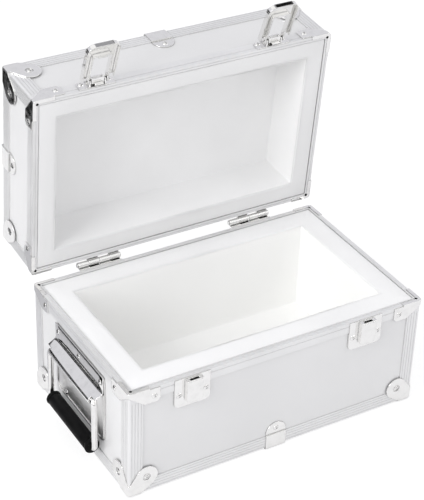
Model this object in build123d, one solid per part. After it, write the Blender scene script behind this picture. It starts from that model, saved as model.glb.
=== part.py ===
from build123d import *
import math
import os

os.makedirs("parts", exist_ok=True)

# A hinged carrying case for one test weight, in millimetres, +Z up. X runs along the case and -Y is
# the latch side. The pieces are drawn round the centre of the base's underside, where the corner
# protectors rest. The lid and its latches are drawn closed, then turned to the open pose. When a
# piece is saved it moves forwards, so that the origin is the middle of the open case's footprint.

# Case
case_length = 320.0
case_depth = 198.0
base_rim_height = 120.0
lid_depth = 69.0
seam_gap = 1.4
edge_radius = 2.5
open_angle = 85.0
footprint_shift = 33.4

# Aluminium profiles and boards
profile_wall = 1.2
profile_leg = 14.5
rim_leg = 12.0
rim_lip_wall = 0.8
rim_lip_depth = 5.0
tongue_height = 1.0
board = 3.0
rib_count = 4
rib_pitch = 3.1
rib_width = 0.5
rib_depth = 0.3
rim_line_from_edge = 4.0
rim_line_width = 0.6
lid_rim_line_inset = 2.2

# Foam linings
foam_side_clearance = 0.2
base_pocket_length = 260.0
base_pocket_width = 138.4
base_pocket_depth = 95.8
lid_pocket_length = 269.0
lid_pocket_width = 149.6
lid_pocket_depth = 48.5
foam_seat_clearance = 0.4

# Corner protectors
sheet = 1.0
leaf_reach = 11.5
leaf_disc_centre = 19.5
leaf_disc_radius = 11.5
dish_radius = 3.9
dish_depth = 0.6
plate_reach = 32.5
plate_height = 15.8
plate_corner_height = 5.0
plate_slope_start = 2.5
plate_slope_end = 16.5
plate_end_setback = 1.0
plate_end_chamfer = 3.0
plate_rivet_reach = 26.5
plate_rivet_drop = 8.75
strip_length = 22.0
strip_width = 4.0
strip_sheet = 0.6
strip_gusset = 5.0
strip_hole_radius = 1.4
strip_hole_inset = 4.4

# Mid clips
clip_width = 22.0
clip_reach = 29.5
clip_rivet_reach = 23.0
clip_bend_radius = 1.8

# Rivets
rivet_head_radius = 3.0
rivet_head_height = 1.3
rivet_low_head = 0.5
rivet_dimple_radius = 0.9
rivet_dimple_depth = 0.4
rivet_shank_radius = 1.6
rivet_upset_radius = 2.6
rivet_upset_height = 0.6
rivet_hole_clearance = 0.05

# Keepers on the base front
latch_inset = 65.5
keeper_width = 37.0
keeper_bottom = 88.0
keeper_top = 119.5
keeper_corner = 5.0
keeper_skirt_gap = 0.2
keeper_box_width = 17.0
keeper_box_bottom = 94.5
keeper_box_top = 118.6
keeper_box_proud = 5.6
keeper_box_wall = 1.0
keeper_lip = 0.9
keeper_slot_width = 9.5
keeper_slot_inner = 1.4
keeper_slot_outer = 4.4
keeper_rivet_spread = 28.0
keeper_rivet_height = 101.5
keeper_box_round = 1.2
keeper_box_corner = 2.6

# Lid latches
latch_plate_width = 37.0
latch_plate_height = 12.0
latch_plate_lift = 0.4
latch_plate_corner = 4.0
latch_rivet_spread = 28.4
latch_rivet_rise = 8.5
pivot_rise = 3.0
pivot_standoff = 4.5
hood_half_width = 8.6
hood_wall = 1.4
hood_roof = 1.0
hood_mouth_rise = 7.5
hood_standoff = 6.3
ear_radius = 1.9
ear_neck_back = 0.8
ear_neck_rise = 1.7
ear_roof_inset = 1.0
ear_mouth_drop = 1.4
pivot_pin_radius = 1.1
pivot_head_radius = 1.8
pivot_head = 0.6
running_clearance = 0.05
fixed_clearance = 0.01
side_gap = 0.6

# Loop lever
lever_length = 46.0
lever_half_width = 16.6
lever_opening_end = 32.5
lever_root = 3.0
lever_sheet = 1.0
lever_eye_wall = 1.2
lever_face_standoff = 3.6
lever_skirt_reach = 1.2
lever_corner = 8.0
lever_opening_corner = 2.5
lever_closing_angle = 74.0
eye_radius = 2.3
tab_half_width = 4.5
tab_rise = 1.9
lever_web_rise = 0.6

# Hook and its link pin
crank_radius = 2.9
crank_closed_angle = 240.0
link_pin_radius = 0.75
link_eye_radius = 1.6
hook_half_width = 6.5
hook_arm = 1.9
hook_sheet = 1.0
hook_shelf = 1.2
hook_tip_half_width = 4.25
hook_shoulder_gap = 0.4
hook_barb_height = 1.6
hook_slack = 0.4
hook_grip = 0.45
hook_leg_gap = 0.4

# Hinges
hinge_inset = 73.7
hinge_length = 46.0
hinge_axis_back = 5.2
hinge_axis_rise = 2.4
hinge_leaf = 1.2
hinge_leaf_drop = 11.5
knuckle_count = 4
knuckle_radius = 3.2
knuckle_gap = 0.2
hinge_pin_radius = 1.5
hinge_pin_head = 1.0
hinge_rivet_spread = 30.0
hinge_rivet_from_rim = 8.0
hinge_tail_clearance = 0.25
hinge_stop_height = 2.6
hinge_stop_setback = 0.6

# Handles
handle_plate_width = 102.0
handle_plate_bottom = 29.5
handle_plate_top = 107.5
handle_plate_corner = 10.0
handle_plate_sheet = 1.2
bead_width = 2.0
bead_inset = 1.5
bead_height = 0.8
hood_sheet_width = 99.0
hood_flange_bottom = 87.5
hood_flange_top = 106.3
handle_hood_sheet = 1.2
bail_standoff = 8.5
bail_axis_height = 79.0
bail_drop = 55.0
bail_spread = 93.0
bail_rod_radius = 3.0
bail_bend = 4.0
bail_bore_clearance = 0.06
barrel_end_gap = 0.3
bail_stop_gap = 0.2
grip_radius = 7.2
grip_collar_radius = 7.8
grip_collar_length = 6.0
grip_neck_radius = 6.6
grip_neck_length = 2.5
grip_end_gap = 0.1
handle_top_rivet_height = 98.5
handle_top_rivet_spread = 88.0
handle_low_rivet_height = 36.0
handle_low_rivet_spread = 60.0

# Worked-out planes
face_x = case_length / 2 - sheet
face_y = case_depth / 2 - sheet
base_profile_height = base_rim_height - sheet
lid_profile_height = lid_depth - sheet
lid_rim = base_rim_height + seam_gap
lid_top = lid_rim + lid_profile_height
board_x = face_x - profile_wall
board_y = face_y - profile_wall
inner_x = board_x - board
inner_y = board_y - board
lip_x = inner_x - rim_lip_wall
lip_y = inner_y - rim_lip_wall
latch_x = case_length / 2 - latch_inset
hinge_x = case_length / 2 - hinge_inset
hinge_y = case_depth / 2 + hinge_axis_back
hinge_z = base_rim_height + hinge_axis_rise
hinge_axis = Axis((0, hinge_y, hinge_z), (1, 0, 0))
front_face = -face_y
front_sheet = front_face - sheet
pivot_y = front_sheet - pivot_standoff
pivot_z = lid_rim + pivot_rise
cut_margin = 1.0


def block(x0, x1, y0, y1, z0, z1):
    """A box between two corners."""
    size = Box(x1 - x0, y1 - y0, z1 - z0)
    return Pos((x0 + x1) / 2, (y0 + y1) / 2, (z0 + z1) / 2) * size


def raised(sketch, height):
    """A flat sketch pulled up along +Z, whichever way round its outline was drawn."""
    return extrude(sketch, height, dir=(0, 0, 1))


def plan_tube(half_x, half_y, inset_x, inset_y, z0, z1, radius=0.0):
    """An upright rectangular tube, rounded outside where a radius is given."""
    if radius > 0:
        outer = RectangleRounded(2 * half_x, 2 * half_y, radius)
    else:
        outer = Rectangle(2 * half_x, 2 * half_y)
    ring = outer - Rectangle(2 * inset_x, 2 * inset_y)
    return Pos(0, 0, z0) * raised(ring, z1 - z0)


def rounded_case(grow, height):
    """The outer form of one half: closed side at z = 0, rim at the given height, edges rounded."""
    body = block(-face_x - grow, face_x + grow, -face_y - grow, face_y + grow, -grow, height)
    edges = body.edges().filter_by(Axis.Z) + body.edges().group_by(Axis.Z)[0]
    return fillet(edges, edge_radius + grow)


def mitred(frame):
    """A rectangular frame cut into four bars along its mitres."""
    reach_x = case_length / 2 + cut_margin
    reach_y = case_depth / 2 + cut_margin
    ridge = reach_x - reach_y
    tall = 2 * base_rim_height
    front = Polygon((-reach_x, -reach_y), (reach_x, -reach_y), (ridge, 0), (-ridge, 0), align=None)
    right = Polygon((reach_x, -reach_y), (reach_x, reach_y), (ridge, 0), align=None)
    front = Pos(0, 0, -tall / 2) * raised(front, tall)
    right = Pos(0, 0, -tall / 2) * raised(right, tall)
    wedges = [front, mirror(front, about=Plane.XZ), right, mirror(right, about=Plane.YZ)]
    return [frame & wedge for wedge in wedges]


def four_corners(shape):
    """Copies of a piece of the front left corner at all four corners."""
    pair = [shape, mirror(shape, about=Plane.YZ)]
    return pair + [mirror(piece, about=Plane.XZ) for piece in pair]


def closed_side_profiles():
    """The mitred angle profiles round the closed side, ribbed on both faces."""
    frame = rounded_case(0.0, profile_leg)
    frame -= block(-board_x, board_x, -board_y, board_y, profile_wall, profile_leg + cut_margin)
    open_x = face_x - profile_leg
    open_y = face_y - profile_leg
    frame -= block(-open_x, open_x, -open_y, open_y, -cut_margin, profile_leg)
    cuts = []
    for rib in range(1, rib_count + 1):
        at = rib * rib_pitch
        inner_half_x = face_x - rib_depth
        inner_half_y = face_y - rib_depth
        cuts.append(plan_tube(face_x + cut_margin, face_y + cut_margin, inner_half_x, inner_half_y,
                              at, at + rib_width))
        ring = plan_tube(face_x - at, face_y - at, face_x - at - rib_width, face_y - at - rib_width,
                         -cut_margin, rib_depth)
        cuts.append(ring)
    return mitred(frame - cuts)


def corner_profiles(height):
    """The four upright angle profiles between the closed side and the rim."""
    leg = profile_leg
    wall = profile_wall
    section = Polygon((0, 0), (leg, 0), (leg, wall), (wall, wall), (wall, leg), (0, leg), align=None)
    corner = section.vertices().sort_by_distance((0, 0, 0))[0]
    section = fillet(corner, edge_radius)
    for rib in range(1, rib_count + 1):
        at = rib * rib_pitch
        groove = Rectangle(rib_width, 2 * rib_depth)
        section -= Pos(at + rib_width / 2, 0) * groove
        section -= Pos(0, at + rib_width / 2) * Rectangle(2 * rib_depth, rib_width)
    post = raised(section, height - rim_leg - profile_leg)
    return four_corners(Pos(-face_x, -face_y, profile_leg) * post)


def rim_profiles(height, tongue):
    """The mitred channel profiles that cap the boards at the rim."""
    frame = plan_tube(face_x, face_y, lip_x, lip_y, height - rim_leg, height, edge_radius)
    frame -= plan_tube(board_x, board_y, inner_x, inner_y, height - rim_leg - cut_margin,
                       height - profile_wall)
    frame -= plan_tube(inner_x + cut_margin, inner_y + cut_margin, lip_x - cut_margin,
                       lip_y - cut_margin, height - rim_leg - cut_margin, height - rim_lip_depth)
    line = height - rim_line_from_edge
    frame -= plan_tube(face_x + cut_margin, face_y + cut_margin, face_x - rib_depth,
                       face_y - rib_depth, line - rim_line_width, line)
    if tongue:
        frame += plan_tube(inner_x, inner_y, lip_x, lip_y, height - profile_wall,
                           height + tongue_height)
    else:
        inset = lid_rim_line_inset
        frame -= plan_tube(face_x - inset, face_y - inset, face_x - inset - rim_line_width,
                           face_y - inset - rim_line_width, height - rib_depth,
                           height + cut_margin)
    bars = mitred(frame)
    hole = Cylinder(strip_hole_radius, 4 * profile_wall)
    at_x = case_length / 2 - strip_hole_inset
    at_y = case_depth / 2 - strip_hole_inset
    holes = four_corners(Pos(-at_x, -at_y, height) * hole)
    return [bar - holes for bar in bars]


def boards(height):
    """Closed side, front, back, left and right boards of one half, in that order."""
    floor_top = profile_wall + board
    cap = height - profile_wall
    closed = block(-board_x, board_x, -board_y, board_y, profile_wall, floor_top)
    front = block(-board_x, board_x, -board_y, -inner_y, floor_top, cap)
    left = block(-board_x, -inner_x, -inner_y, inner_y, floor_top, cap)
    back = mirror(front, about=Plane.XZ)
    right = mirror(left, about=Plane.YZ)
    return [closed, front, back, left, right]


def foam_lining(height, pocket_length, pocket_width, pocket_depth, pockets):
    """The foam block with its weight pocket, and reliefs over rivet ends in the closed side."""
    half_x = lip_x - foam_side_clearance
    half_y = lip_y - foam_side_clearance
    foam = block(-half_x, half_x, -half_y, half_y, profile_wall + board, height)
    foam -= block(-pocket_length / 2, pocket_length / 2, -pocket_width / 2, pocket_width / 2,
                  height - pocket_depth, height + cut_margin)
    relief_height = 2 * (rivet_upset_height + foam_seat_clearance)
    relief = Cylinder(rivet_upset_radius + foam_seat_clearance, relief_height)
    return foam - [Pos(x, y, profile_wall + board) * relief for x, y in pockets]


def leaf_outline():
    """One leaf of an outer corner protector, seen square on, with the case corner at 0, 0."""
    reach = leaf_reach
    centre = leaf_disc_centre
    gap = math.hypot(centre - reach, centre)
    turn = math.atan2(centre, centre - reach) - math.asin(leaf_disc_radius / gap)
    run = math.sqrt(gap ** 2 - leaf_disc_radius ** 2)
    touch_x = reach + run * math.cos(turn)
    touch_y = run * math.sin(turn)
    web = Polygon((0, 0), (reach, 0), (touch_x, touch_y), (touch_y, touch_x), (0, reach), align=None)
    return web + Pos(centre, centre) * Circle(leaf_disc_radius)


def corner_planes():
    """Planes on the three outer faces of the front left corner, +Z outwards, X and Y inwards."""
    corner = Vector(-case_length / 2, -case_depth / 2, -sheet)
    front = Plane(origin=corner, x_dir=(1, 0, 0), z_dir=(0, -1, 0))
    left = Plane(origin=corner, x_dir=(0, 0, 1), z_dir=(-1, 0, 0))
    under = Plane(origin=corner, x_dir=(0, 1, 0), z_dir=(0, 0, -1))
    return [front, left, under]


def corner_protectors(height):
    """The four three-leaved protectors of the closed side, each one pressed sheet."""
    shell = rounded_case(sheet, height) - rounded_case(0.0, height + cut_margin)
    outline = leaf_outline()
    wrap = sheet + edge_radius
    centre = Pos(leaf_disc_centre, leaf_disc_centre, 0)
    prism = Pos(0, 0, -wrap) * raised(outline, wrap)
    seat = centre * Pos(0, 0, -(sheet + profile_wall) / 2) * Cylinder(dish_radius, sheet + profile_wall)
    dish = centre * Cylinder(dish_radius, 2 * dish_depth)
    prisms = [plane.location * prism for plane in corner_planes()]
    piece = shell & (prisms[0] + prisms[1] + prisms[2])
    for plane in corner_planes():
        piece += plane.location * seat
    for plane in corner_planes():
        piece -= plane.location * dish
    return four_corners(piece)


def rim_plate_outline():
    """One leaf of a rim protector: X along the rim from the corner, Y down from the rim."""
    points = [(0, 0), (strip_length, 0), (strip_length, plate_end_setback),
              (plate_reach, plate_end_setback), (plate_reach, plate_height - plate_end_chamfer),
              (plate_reach - plate_end_chamfer, plate_height), (plate_slope_end, plate_height),
              (plate_slope_start, plate_corner_height), (0, plate_corner_height)]
    return Polygon(*points, align=None)


def rim_protectors(height):
    """The four rim corner protectors: two side leaves and a narrow strip folded over the rim."""
    tube = plan_tube(case_length / 2, case_depth / 2, face_x - edge_radius, face_y - edge_radius,
                     height - plate_height - cut_margin, height, edge_radius + sheet)
    core = raised(RectangleRounded(2 * face_x, 2 * face_y, edge_radius), height + cut_margin)
    shell = tube - core
    wrap = sheet + edge_radius
    corner = Vector(-case_length / 2, -case_depth / 2, height)
    front = Plane(origin=corner, x_dir=(1, 0, 0), z_dir=(0, 1, 0))
    left = Plane(origin=corner, x_dir=(0, 1, 0), z_dir=(-1, 0, 0))
    front_prism = front.location * raised(rim_plate_outline(), wrap)
    left_prism = left.location * (Pos(0, 0, -wrap) * raised(rim_plate_outline(), wrap))
    piece = shell & (front_prism + left_prism)
    along = Pos(strip_length / 2, strip_width / 2) * Rectangle(strip_length, strip_width)
    across = Pos(strip_width / 2, strip_length / 2) * Rectangle(strip_width, strip_length)
    gusset = Pos(strip_gusset / 2, strip_gusset / 2) * Rectangle(strip_gusset, strip_gusset)
    strip = along + across + gusset
    strip -= Pos(strip_hole_inset, strip_hole_inset) * Circle(strip_hole_radius)
    strip = Pos(-case_length / 2, -case_depth / 2, height) * raised(strip, strip_sheet)
    strip &= raised(RectangleRounded(case_length, case_depth, edge_radius + sheet),
                     height + strip_sheet)
    return four_corners(piece + strip)


def clip_arm():
    """One arm of a mid clip: X across, Y away from the case edge, +Z outwards from the sheet."""
    step = profile_leg + sheet
    half = clip_width / 2
    arm = block(-half, half, 0, step + sheet, -sheet, 0)
    arm += block(-half, half, step, step + sheet, -sheet - profile_wall, 0)
    straight = Pos(0, (step + clip_reach - half) / 2) * Rectangle(clip_width, clip_reach - half - step)
    round_end = Pos(0, clip_reach - half) * Circle(half)
    pad = raised(straight + round_end, sheet) - block(-half, half, 0, step, 0, sheet)
    return arm + Pos(0, 0, -sheet - profile_wall) * pad


def mid_clip(direction, reach):
    """A clip folded round a closed side edge in the given plan direction."""
    origin = Vector(direction[0] * reach, direction[1] * reach, -sheet)
    across = Vector(-direction[1], direction[0], 0)
    side = Plane(origin=origin, x_dir=across, z_dir=(direction[0], direction[1], 0))
    under = Plane(origin=origin, x_dir=-across, z_dir=(0, 0, -1))
    clip = side.location * clip_arm() + under.location * clip_arm()
    edge = [e for e in clip.edges().filter_by(GeomType.LINE)
            if (e.center() - origin).length < sheet / 2]
    return fillet(edge, clip_bend_radius)


def rivet(grip, head_height):
    """One rivet along Z: dimpled domed head on z = 0, shank through the grip, upset end behind."""
    ball = (rivet_head_radius ** 2 + head_height ** 2) / (2 * head_height)
    base = head_height - ball
    inner_turn = math.asin(rivet_dimple_radius / ball)
    middle_turn = (inner_turn + math.asin(rivet_head_radius / ball)) / 2
    brim = (rivet_dimple_radius, base + ball * math.cos(inner_turn))
    mid = (ball * math.sin(middle_turn), base + ball * math.cos(middle_turn))
    dome = ThreePointArc(brim, mid, (rivet_head_radius, 0))
    foot = -grip - rivet_upset_height
    floor = brim[1] - rivet_dimple_depth
    rest = Polyline((rivet_head_radius, 0), (rivet_shank_radius, 0), (rivet_shank_radius, -grip),
                    (rivet_upset_radius, -grip), (rivet_upset_radius, foot), (0, foot),
                    (0, floor), (rivet_dimple_radius, floor), brim)
    profile = make_face(dome + rest)
    return revolve(Plane.XZ.location * profile, Axis.Z)


def seat_plane(point, outward):
    """The plane a rivet head sits on."""
    return Plane(origin=point, z_dir=outward)


def make_rivets(rows):
    """Rivet solids for rows of (point, outward, grip, head height)."""
    stock = {}
    placed = []
    for point, outward, grip, head in rows:
        key = (grip, head)
        if key not in stock:
            stock[key] = rivet(grip, head)
        placed.append(seat_plane(point, outward).location * stock[key])
    return placed


def drill(shape, rows):
    """The shape with a clearance hole for every rivet whose shank crosses its bounding box."""
    box = shape.bounding_box()
    holes = []
    for point, outward, grip, head in rows:
        ends = [Vector(*point), Vector(*point) - Vector(*outward) * grip]
        low = [min(getattr(ends[0], a), getattr(ends[1], a)) for a in "XYZ"]
        high = [max(getattr(ends[0], a), getattr(ends[1], a)) for a in "XYZ"]
        radius = rivet_shank_radius + rivet_hole_clearance
        inside = all(low[i] - radius < tuple(box.max)[i] and high[i] + radius > tuple(box.min)[i]
                     for i in range(3))
        if inside:
            hole = Pos(0, 0, -grip / 2) * Cylinder(radius, grip + 2 * dish_depth)
            holes.append(seat_plane(point, outward).location * hole)
    return shape - holes if holes else shape


def corner_rivet_rows():
    """Rivets of the outer protectors, on the floor of each pressed dish."""
    x = case_length / 2 - leaf_disc_centre
    y = case_depth / 2 - leaf_disc_centre
    z = leaf_disc_centre - sheet
    grip = sheet - dish_depth + profile_wall + board
    rows = []
    for sx in (-1, 1):
        for sy in (-1, 1):
            seat_y = sy * (case_depth / 2 - dish_depth)
            seat_x = sx * (case_length / 2 - dish_depth)
            rows.append(((sx * x, seat_y, z), (0, sy, 0), grip, rivet_head_height))
            rows.append(((seat_x, sy * y, z), (sx, 0, 0), grip, rivet_head_height))
            rows.append(((sx * x, sy * y, dish_depth - sheet), (0, 0, -1), grip, rivet_low_head))
    return rows


def rim_rivet_rows(height):
    """Rivets of the rim protectors."""
    x = case_length / 2 - plate_rivet_reach
    y = case_depth / 2 - plate_rivet_reach
    z = height - plate_rivet_drop
    grip = sheet + profile_wall + board
    rows = []
    for sx in (-1, 1):
        for sy in (-1, 1):
            rows.append(((sx * x, sy * case_depth / 2, z), (0, sy, 0), grip, rivet_head_height))
            rows.append(((sx * case_length / 2, sy * y, z), (sx, 0, 0), grip, rivet_head_height))
    return rows


def clip_rivet_rows(directions):
    """Two rivets for each mid clip, one in each arm."""
    rows = []
    grip = sheet + board
    for dx, dy in directions:
        reach = abs(dx) * case_length / 2 + abs(dy) * case_depth / 2
        side = reach - profile_wall
        inward = reach - clip_rivet_reach
        rows.append(((dx * side, dy * side, clip_rivet_reach - sheet), (dx, dy, 0), grip,
                     rivet_head_height))
        rows.append(((dx * inward, dy * inward, profile_wall - sheet), (0, 0, -1), grip,
                     rivet_low_head))
    return rows


def clips(directions):
    """The mid clips of one half."""
    made = []
    for dx, dy in directions:
        reach = abs(dx) * case_length / 2 + abs(dy) * case_depth / 2
        made.append(mid_clip((dx, dy), reach))
    return made


def build_half(height, tongue, directions, extra_rows, pocket):
    """Every fixed piece of one half in its own frame, closed side down, drilled for its rivets."""
    rows = corner_rivet_rows() + rim_rivet_rows(height) + clip_rivet_rows(directions)
    all_rows = rows + extra_rows
    floor_pockets = [(p[0], p[1]) for p, outward, grip, head in rows if outward[2] == -1]
    pieces = {}
    pieces["closed_profiles"] = [drill(s, all_rows) for s in closed_side_profiles()]
    pieces["corner_profiles"] = corner_profiles(height)
    pieces["rim_profiles"] = [drill(s, all_rows) for s in rim_profiles(height, tongue)]
    names = ["closed_panel", "front_panel", "back_panel", "left_panel", "right_panel"]
    for name, panel in zip(names, boards(height)):
        pieces[name] = [drill(panel, all_rows)]
    pieces["foam"] = [foam_lining(height, *pocket, floor_pockets)]
    pieces["corner_protectors"] = [drill(s, rows) for s in corner_protectors(height)]
    pieces["rim_protectors"] = [drill(s, rows) for s in rim_protectors(height)]
    pieces["clips"] = [drill(clip, rows) for clip in clips(directions)]
    pieces["rivets"] = make_rivets(rows)
    return pieces


def keeper(centre):
    """The keeper on the base front: a skirted plate and a hollow box with a slot in its top."""
    half = keeper_width / 2
    outline = Polygon((-half, keeper_bottom), (half, keeper_bottom), (half, keeper_top),
                      (-half, keeper_top), align=None)
    low = outline.vertices().sort_by(Axis.Y)[:2]
    outline = fillet(low, keeper_corner)
    skirt = outline - offset(outline, amount=-sheet)
    skirt_top = base_rim_height - rim_leg - keeper_skirt_gap
    skirt -= Pos(0, skirt_top + keeper_width / 2) * Rectangle(2 * keeper_width, keeper_width)
    upright = Plane(origin=(centre, front_face, 0), x_dir=(1, 0, 0), z_dir=(0, -1, 0))
    piece = upright.location * raised(outline, sheet)
    piece += upright.location * (Pos(0, 0, -profile_wall) * raised(skirt, profile_wall))
    box_half = keeper_box_width / 2
    outer = front_sheet - keeper_box_proud
    box = block(-box_half, box_half, outer, front_sheet, keeper_box_bottom, keeper_box_top)
    lower = box.edges().filter_by(Axis.Y).group_by(Axis.Z)[0]
    box = fillet(lower, keeper_box_corner)
    rounded = box.edges().group_by(Axis.Y)[0]
    box = fillet(rounded, keeper_box_round)
    wall = keeper_box_wall
    hollow = block(-box_half + wall, box_half - wall, outer + wall, front_sheet,
                   keeper_box_bottom + wall, keeper_box_top - keeper_lip)
    slot = block(-keeper_slot_width / 2, keeper_slot_width / 2, front_sheet - keeper_slot_outer,
                 front_sheet - keeper_slot_inner, keeper_box_top - 2 * keeper_lip,
                 keeper_box_top + cut_margin)
    piece += Pos(centre, 0, 0) * (box - hollow - slot)
    for side in (-1, 1):
        at = Plane(origin=(centre + side * keeper_rivet_spread / 2, front_face, keeper_rivet_height),
                   z_dir=(0, 1, 0))
        piece += at.location * (Pos(0, 0, profile_wall / 2) * Cylinder(rivet_head_radius, profile_wall))
    return piece


def latch_centres():
    """Left and right latch positions along the case."""
    return [("left", -latch_x), ("right", latch_x)]


def keeper_rivet_rows():
    """Keeper rivets."""
    rows = []
    grip = sheet + profile_wall + board
    for name, centre in latch_centres():
        for side in (-1, 1):
            x = centre + side * keeper_rivet_spread / 2
            rows.append(((x, front_sheet, keeper_rivet_height), (0, -1, 0), grip,
                         rivet_head_height))
    return rows


def latch_rivet_rows():
    """Latch plate rivets, with the lid closed."""
    rows = []
    grip = sheet + profile_wall + board
    for name, centre in latch_centres():
        for side in (-1, 1):
            x = centre + side * latch_rivet_spread / 2
            rows.append(((x, front_sheet, lid_rim + latch_rivet_rise), (0, -1, 0), grip,
                         rivet_head_height))
    return rows


def side_plane(x):
    """A sketch plane across X: sketch X runs along world Y, sketch Y along world Z."""
    return Plane(origin=(x, 0, 0), x_dir=(0, 1, 0), z_dir=(1, 0, 0))


def side_extrude(sketch, x0, x1):
    """A sketch in world Y and Z, extruded from x0 to x1."""
    return side_plane(x0).location * raised(sketch, x1 - x0)


def both_sides(sketch, x0, x1):
    """The same plate at +x and -x."""
    return side_extrude(sketch, x0, x1) + side_extrude(sketch, -x1, -x0)


def disc(point, radius):
    """A circle at a point in world Y and Z."""
    return Pos(point[0], point[1]) * Circle(radius)


def latch_plate():
    """The plate on the lid front with its housing and the two ears for the lever, closed pose."""
    low = lid_rim + latch_plate_lift
    half = latch_plate_width / 2
    outline = Polygon((-half, low), (half, low), (half, low + latch_plate_height),
                      (-half, low + latch_plate_height), align=None)
    top = outline.vertices().sort_by(Axis.Y)[2:]
    outline = fillet(top, latch_plate_corner)
    upright = Plane(origin=(0, front_face, 0), x_dir=(1, 0, 0), z_dir=(0, -1, 0))
    piece = upright.location * raised(outline, sheet)
    mouth = lid_rim + hood_mouth_rise
    roof_y = front_sheet - hood_standoff
    back = low + latch_plate_height
    slope = hood_standoff / 2
    shell = Polygon((front_sheet, mouth), (roof_y, mouth), (roof_y, back - slope),
                    (roof_y + slope, back), (front_sheet, back), align=None)
    inner = Polygon((front_sheet, mouth - cut_margin), (roof_y + hood_roof, mouth - cut_margin),
                    (roof_y + hood_roof, back - slope), (roof_y + slope, back - hood_roof),
                    (front_sheet, back - hood_roof), align=None)
    hood = side_extrude(shell, -hood_half_width, hood_half_width)
    inside = hood_half_width - hood_wall
    hood -= side_extrude(inner, -inside, inside)
    neck = Polygon((front_sheet, pivot_z - ear_radius), (pivot_y, pivot_z - ear_radius),
                   (pivot_y - ear_neck_back, pivot_z + ear_neck_rise),
                   (roof_y + ear_roof_inset, mouth - ear_mouth_drop), (roof_y, mouth),
                   (front_sheet, mouth), align=None)
    ear = neck + disc((pivot_y, pivot_z), ear_radius)
    piece += hood + both_sides(ear, inside, hood_half_width)
    bore = disc((pivot_y, pivot_z), pivot_pin_radius + fixed_clearance)
    return piece - both_sides(bore, inside - cut_margin, hood_half_width + cut_margin)


def pivot_pins():
    """The two short headed pins that the lever turns on."""
    start = hood_half_width - hood_wall
    head_at = hood_half_width + side_gap + lever_eye_wall + knuckle_gap
    shank = side_extrude(disc((pivot_y, pivot_z), pivot_pin_radius), start, head_at)
    head = side_extrude(disc((pivot_y, pivot_z), pivot_head_radius), head_at, head_at + pivot_head)
    pin = shank + head
    return [pin, mirror(pin, about=Plane.YZ)]


def crank_point(angle):
    """The link pin's place on its circle round the lever pivot."""
    turn = math.radians(angle)
    return (pivot_y + crank_radius * math.cos(turn), pivot_z + crank_radius * math.sin(turn))


def lever():
    """The loop lever in its closed place: face sheet, outer and inner skirts, eyes and snap tab."""
    inner = hood_half_width + side_gap
    outer = lever_half_width
    root = pivot_z - lever_root
    foot = pivot_z - lever_length
    slot_end = pivot_z - lever_opening_end
    outline = Polygon((-outer, foot), (outer, foot), (outer, root), (-outer, root), align=None)
    outline = fillet(outline.vertices().sort_by(Axis.Y)[:2], lever_corner)
    opening = Polygon((-inner, slot_end), (inner, slot_end), (inner, root + cut_margin),
                      (-inner, root + cut_margin), align=None)
    opening = fillet(opening.vertices().sort_by(Axis.Y)[:2], lever_opening_corner)
    face = outline - opening
    outer_skirt = outline - offset(outline, amount=-lever_sheet)
    grown = offset(opening, amount=lever_eye_wall)
    skirts = (outer_skirt + (grown - opening)) & outline
    leg_from = inner + lever_eye_wall
    leg_to = outer - lever_sheet
    for side in (-1, 1):
        skirts -= Pos(side * (leg_from + leg_to) / 2, root) * Rectangle(leg_to - leg_from,
                                                                        2 * lever_sheet)
    face_y0 = pivot_y - lever_face_standoff
    upright = Plane(origin=(0, face_y0, 0), x_dir=(1, 0, 0), z_dir=(0, -1, 0))
    depth = lever_face_standoff + lever_skirt_reach
    piece = upright.location * (Pos(0, 0, -lever_sheet) * raised(face, lever_sheet))
    piece += upright.location * (Pos(0, 0, -depth) * raised(skirts - opening, depth))
    link = crank_point(crank_closed_angle)
    eye = disc((pivot_y, pivot_z), eye_radius) + disc(link, link_eye_radius)
    web_top = root + lever_web_rise
    eye += Polygon((pivot_y - lever_face_standoff, web_top), (pivot_y + lever_skirt_reach, web_top),
                   (pivot_y + lever_skirt_reach, root - lever_root),
                   (pivot_y - lever_face_standoff, root - lever_root), align=None)
    eye += Polygon((pivot_y - eye_radius, pivot_z), (pivot_y + eye_radius, pivot_z),
                   (pivot_y + lever_skirt_reach, root), (pivot_y - lever_face_standoff, root),
                   align=None)
    piece += both_sides(eye, inner, inner + lever_eye_wall)
    tab_y = pivot_y + lever_skirt_reach - lever_sheet
    piece += block(-tab_half_width, tab_half_width, tab_y, tab_y + lever_sheet, slot_end - lever_sheet,
                   slot_end + tab_rise)
    bore = disc((pivot_y, pivot_z), pivot_pin_radius + running_clearance)
    bore += disc(link, link_pin_radius + fixed_clearance)
    return piece - both_sides(bore, inner - cut_margin, inner + lever_eye_wall + cut_margin)


def link_pin():
    """The cross pin that carries the hook between the lever's eyes."""
    reach = hood_half_width + side_gap + lever_eye_wall
    return side_extrude(disc(crank_point(crank_closed_angle), link_pin_radius), -reach, reach)


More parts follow.
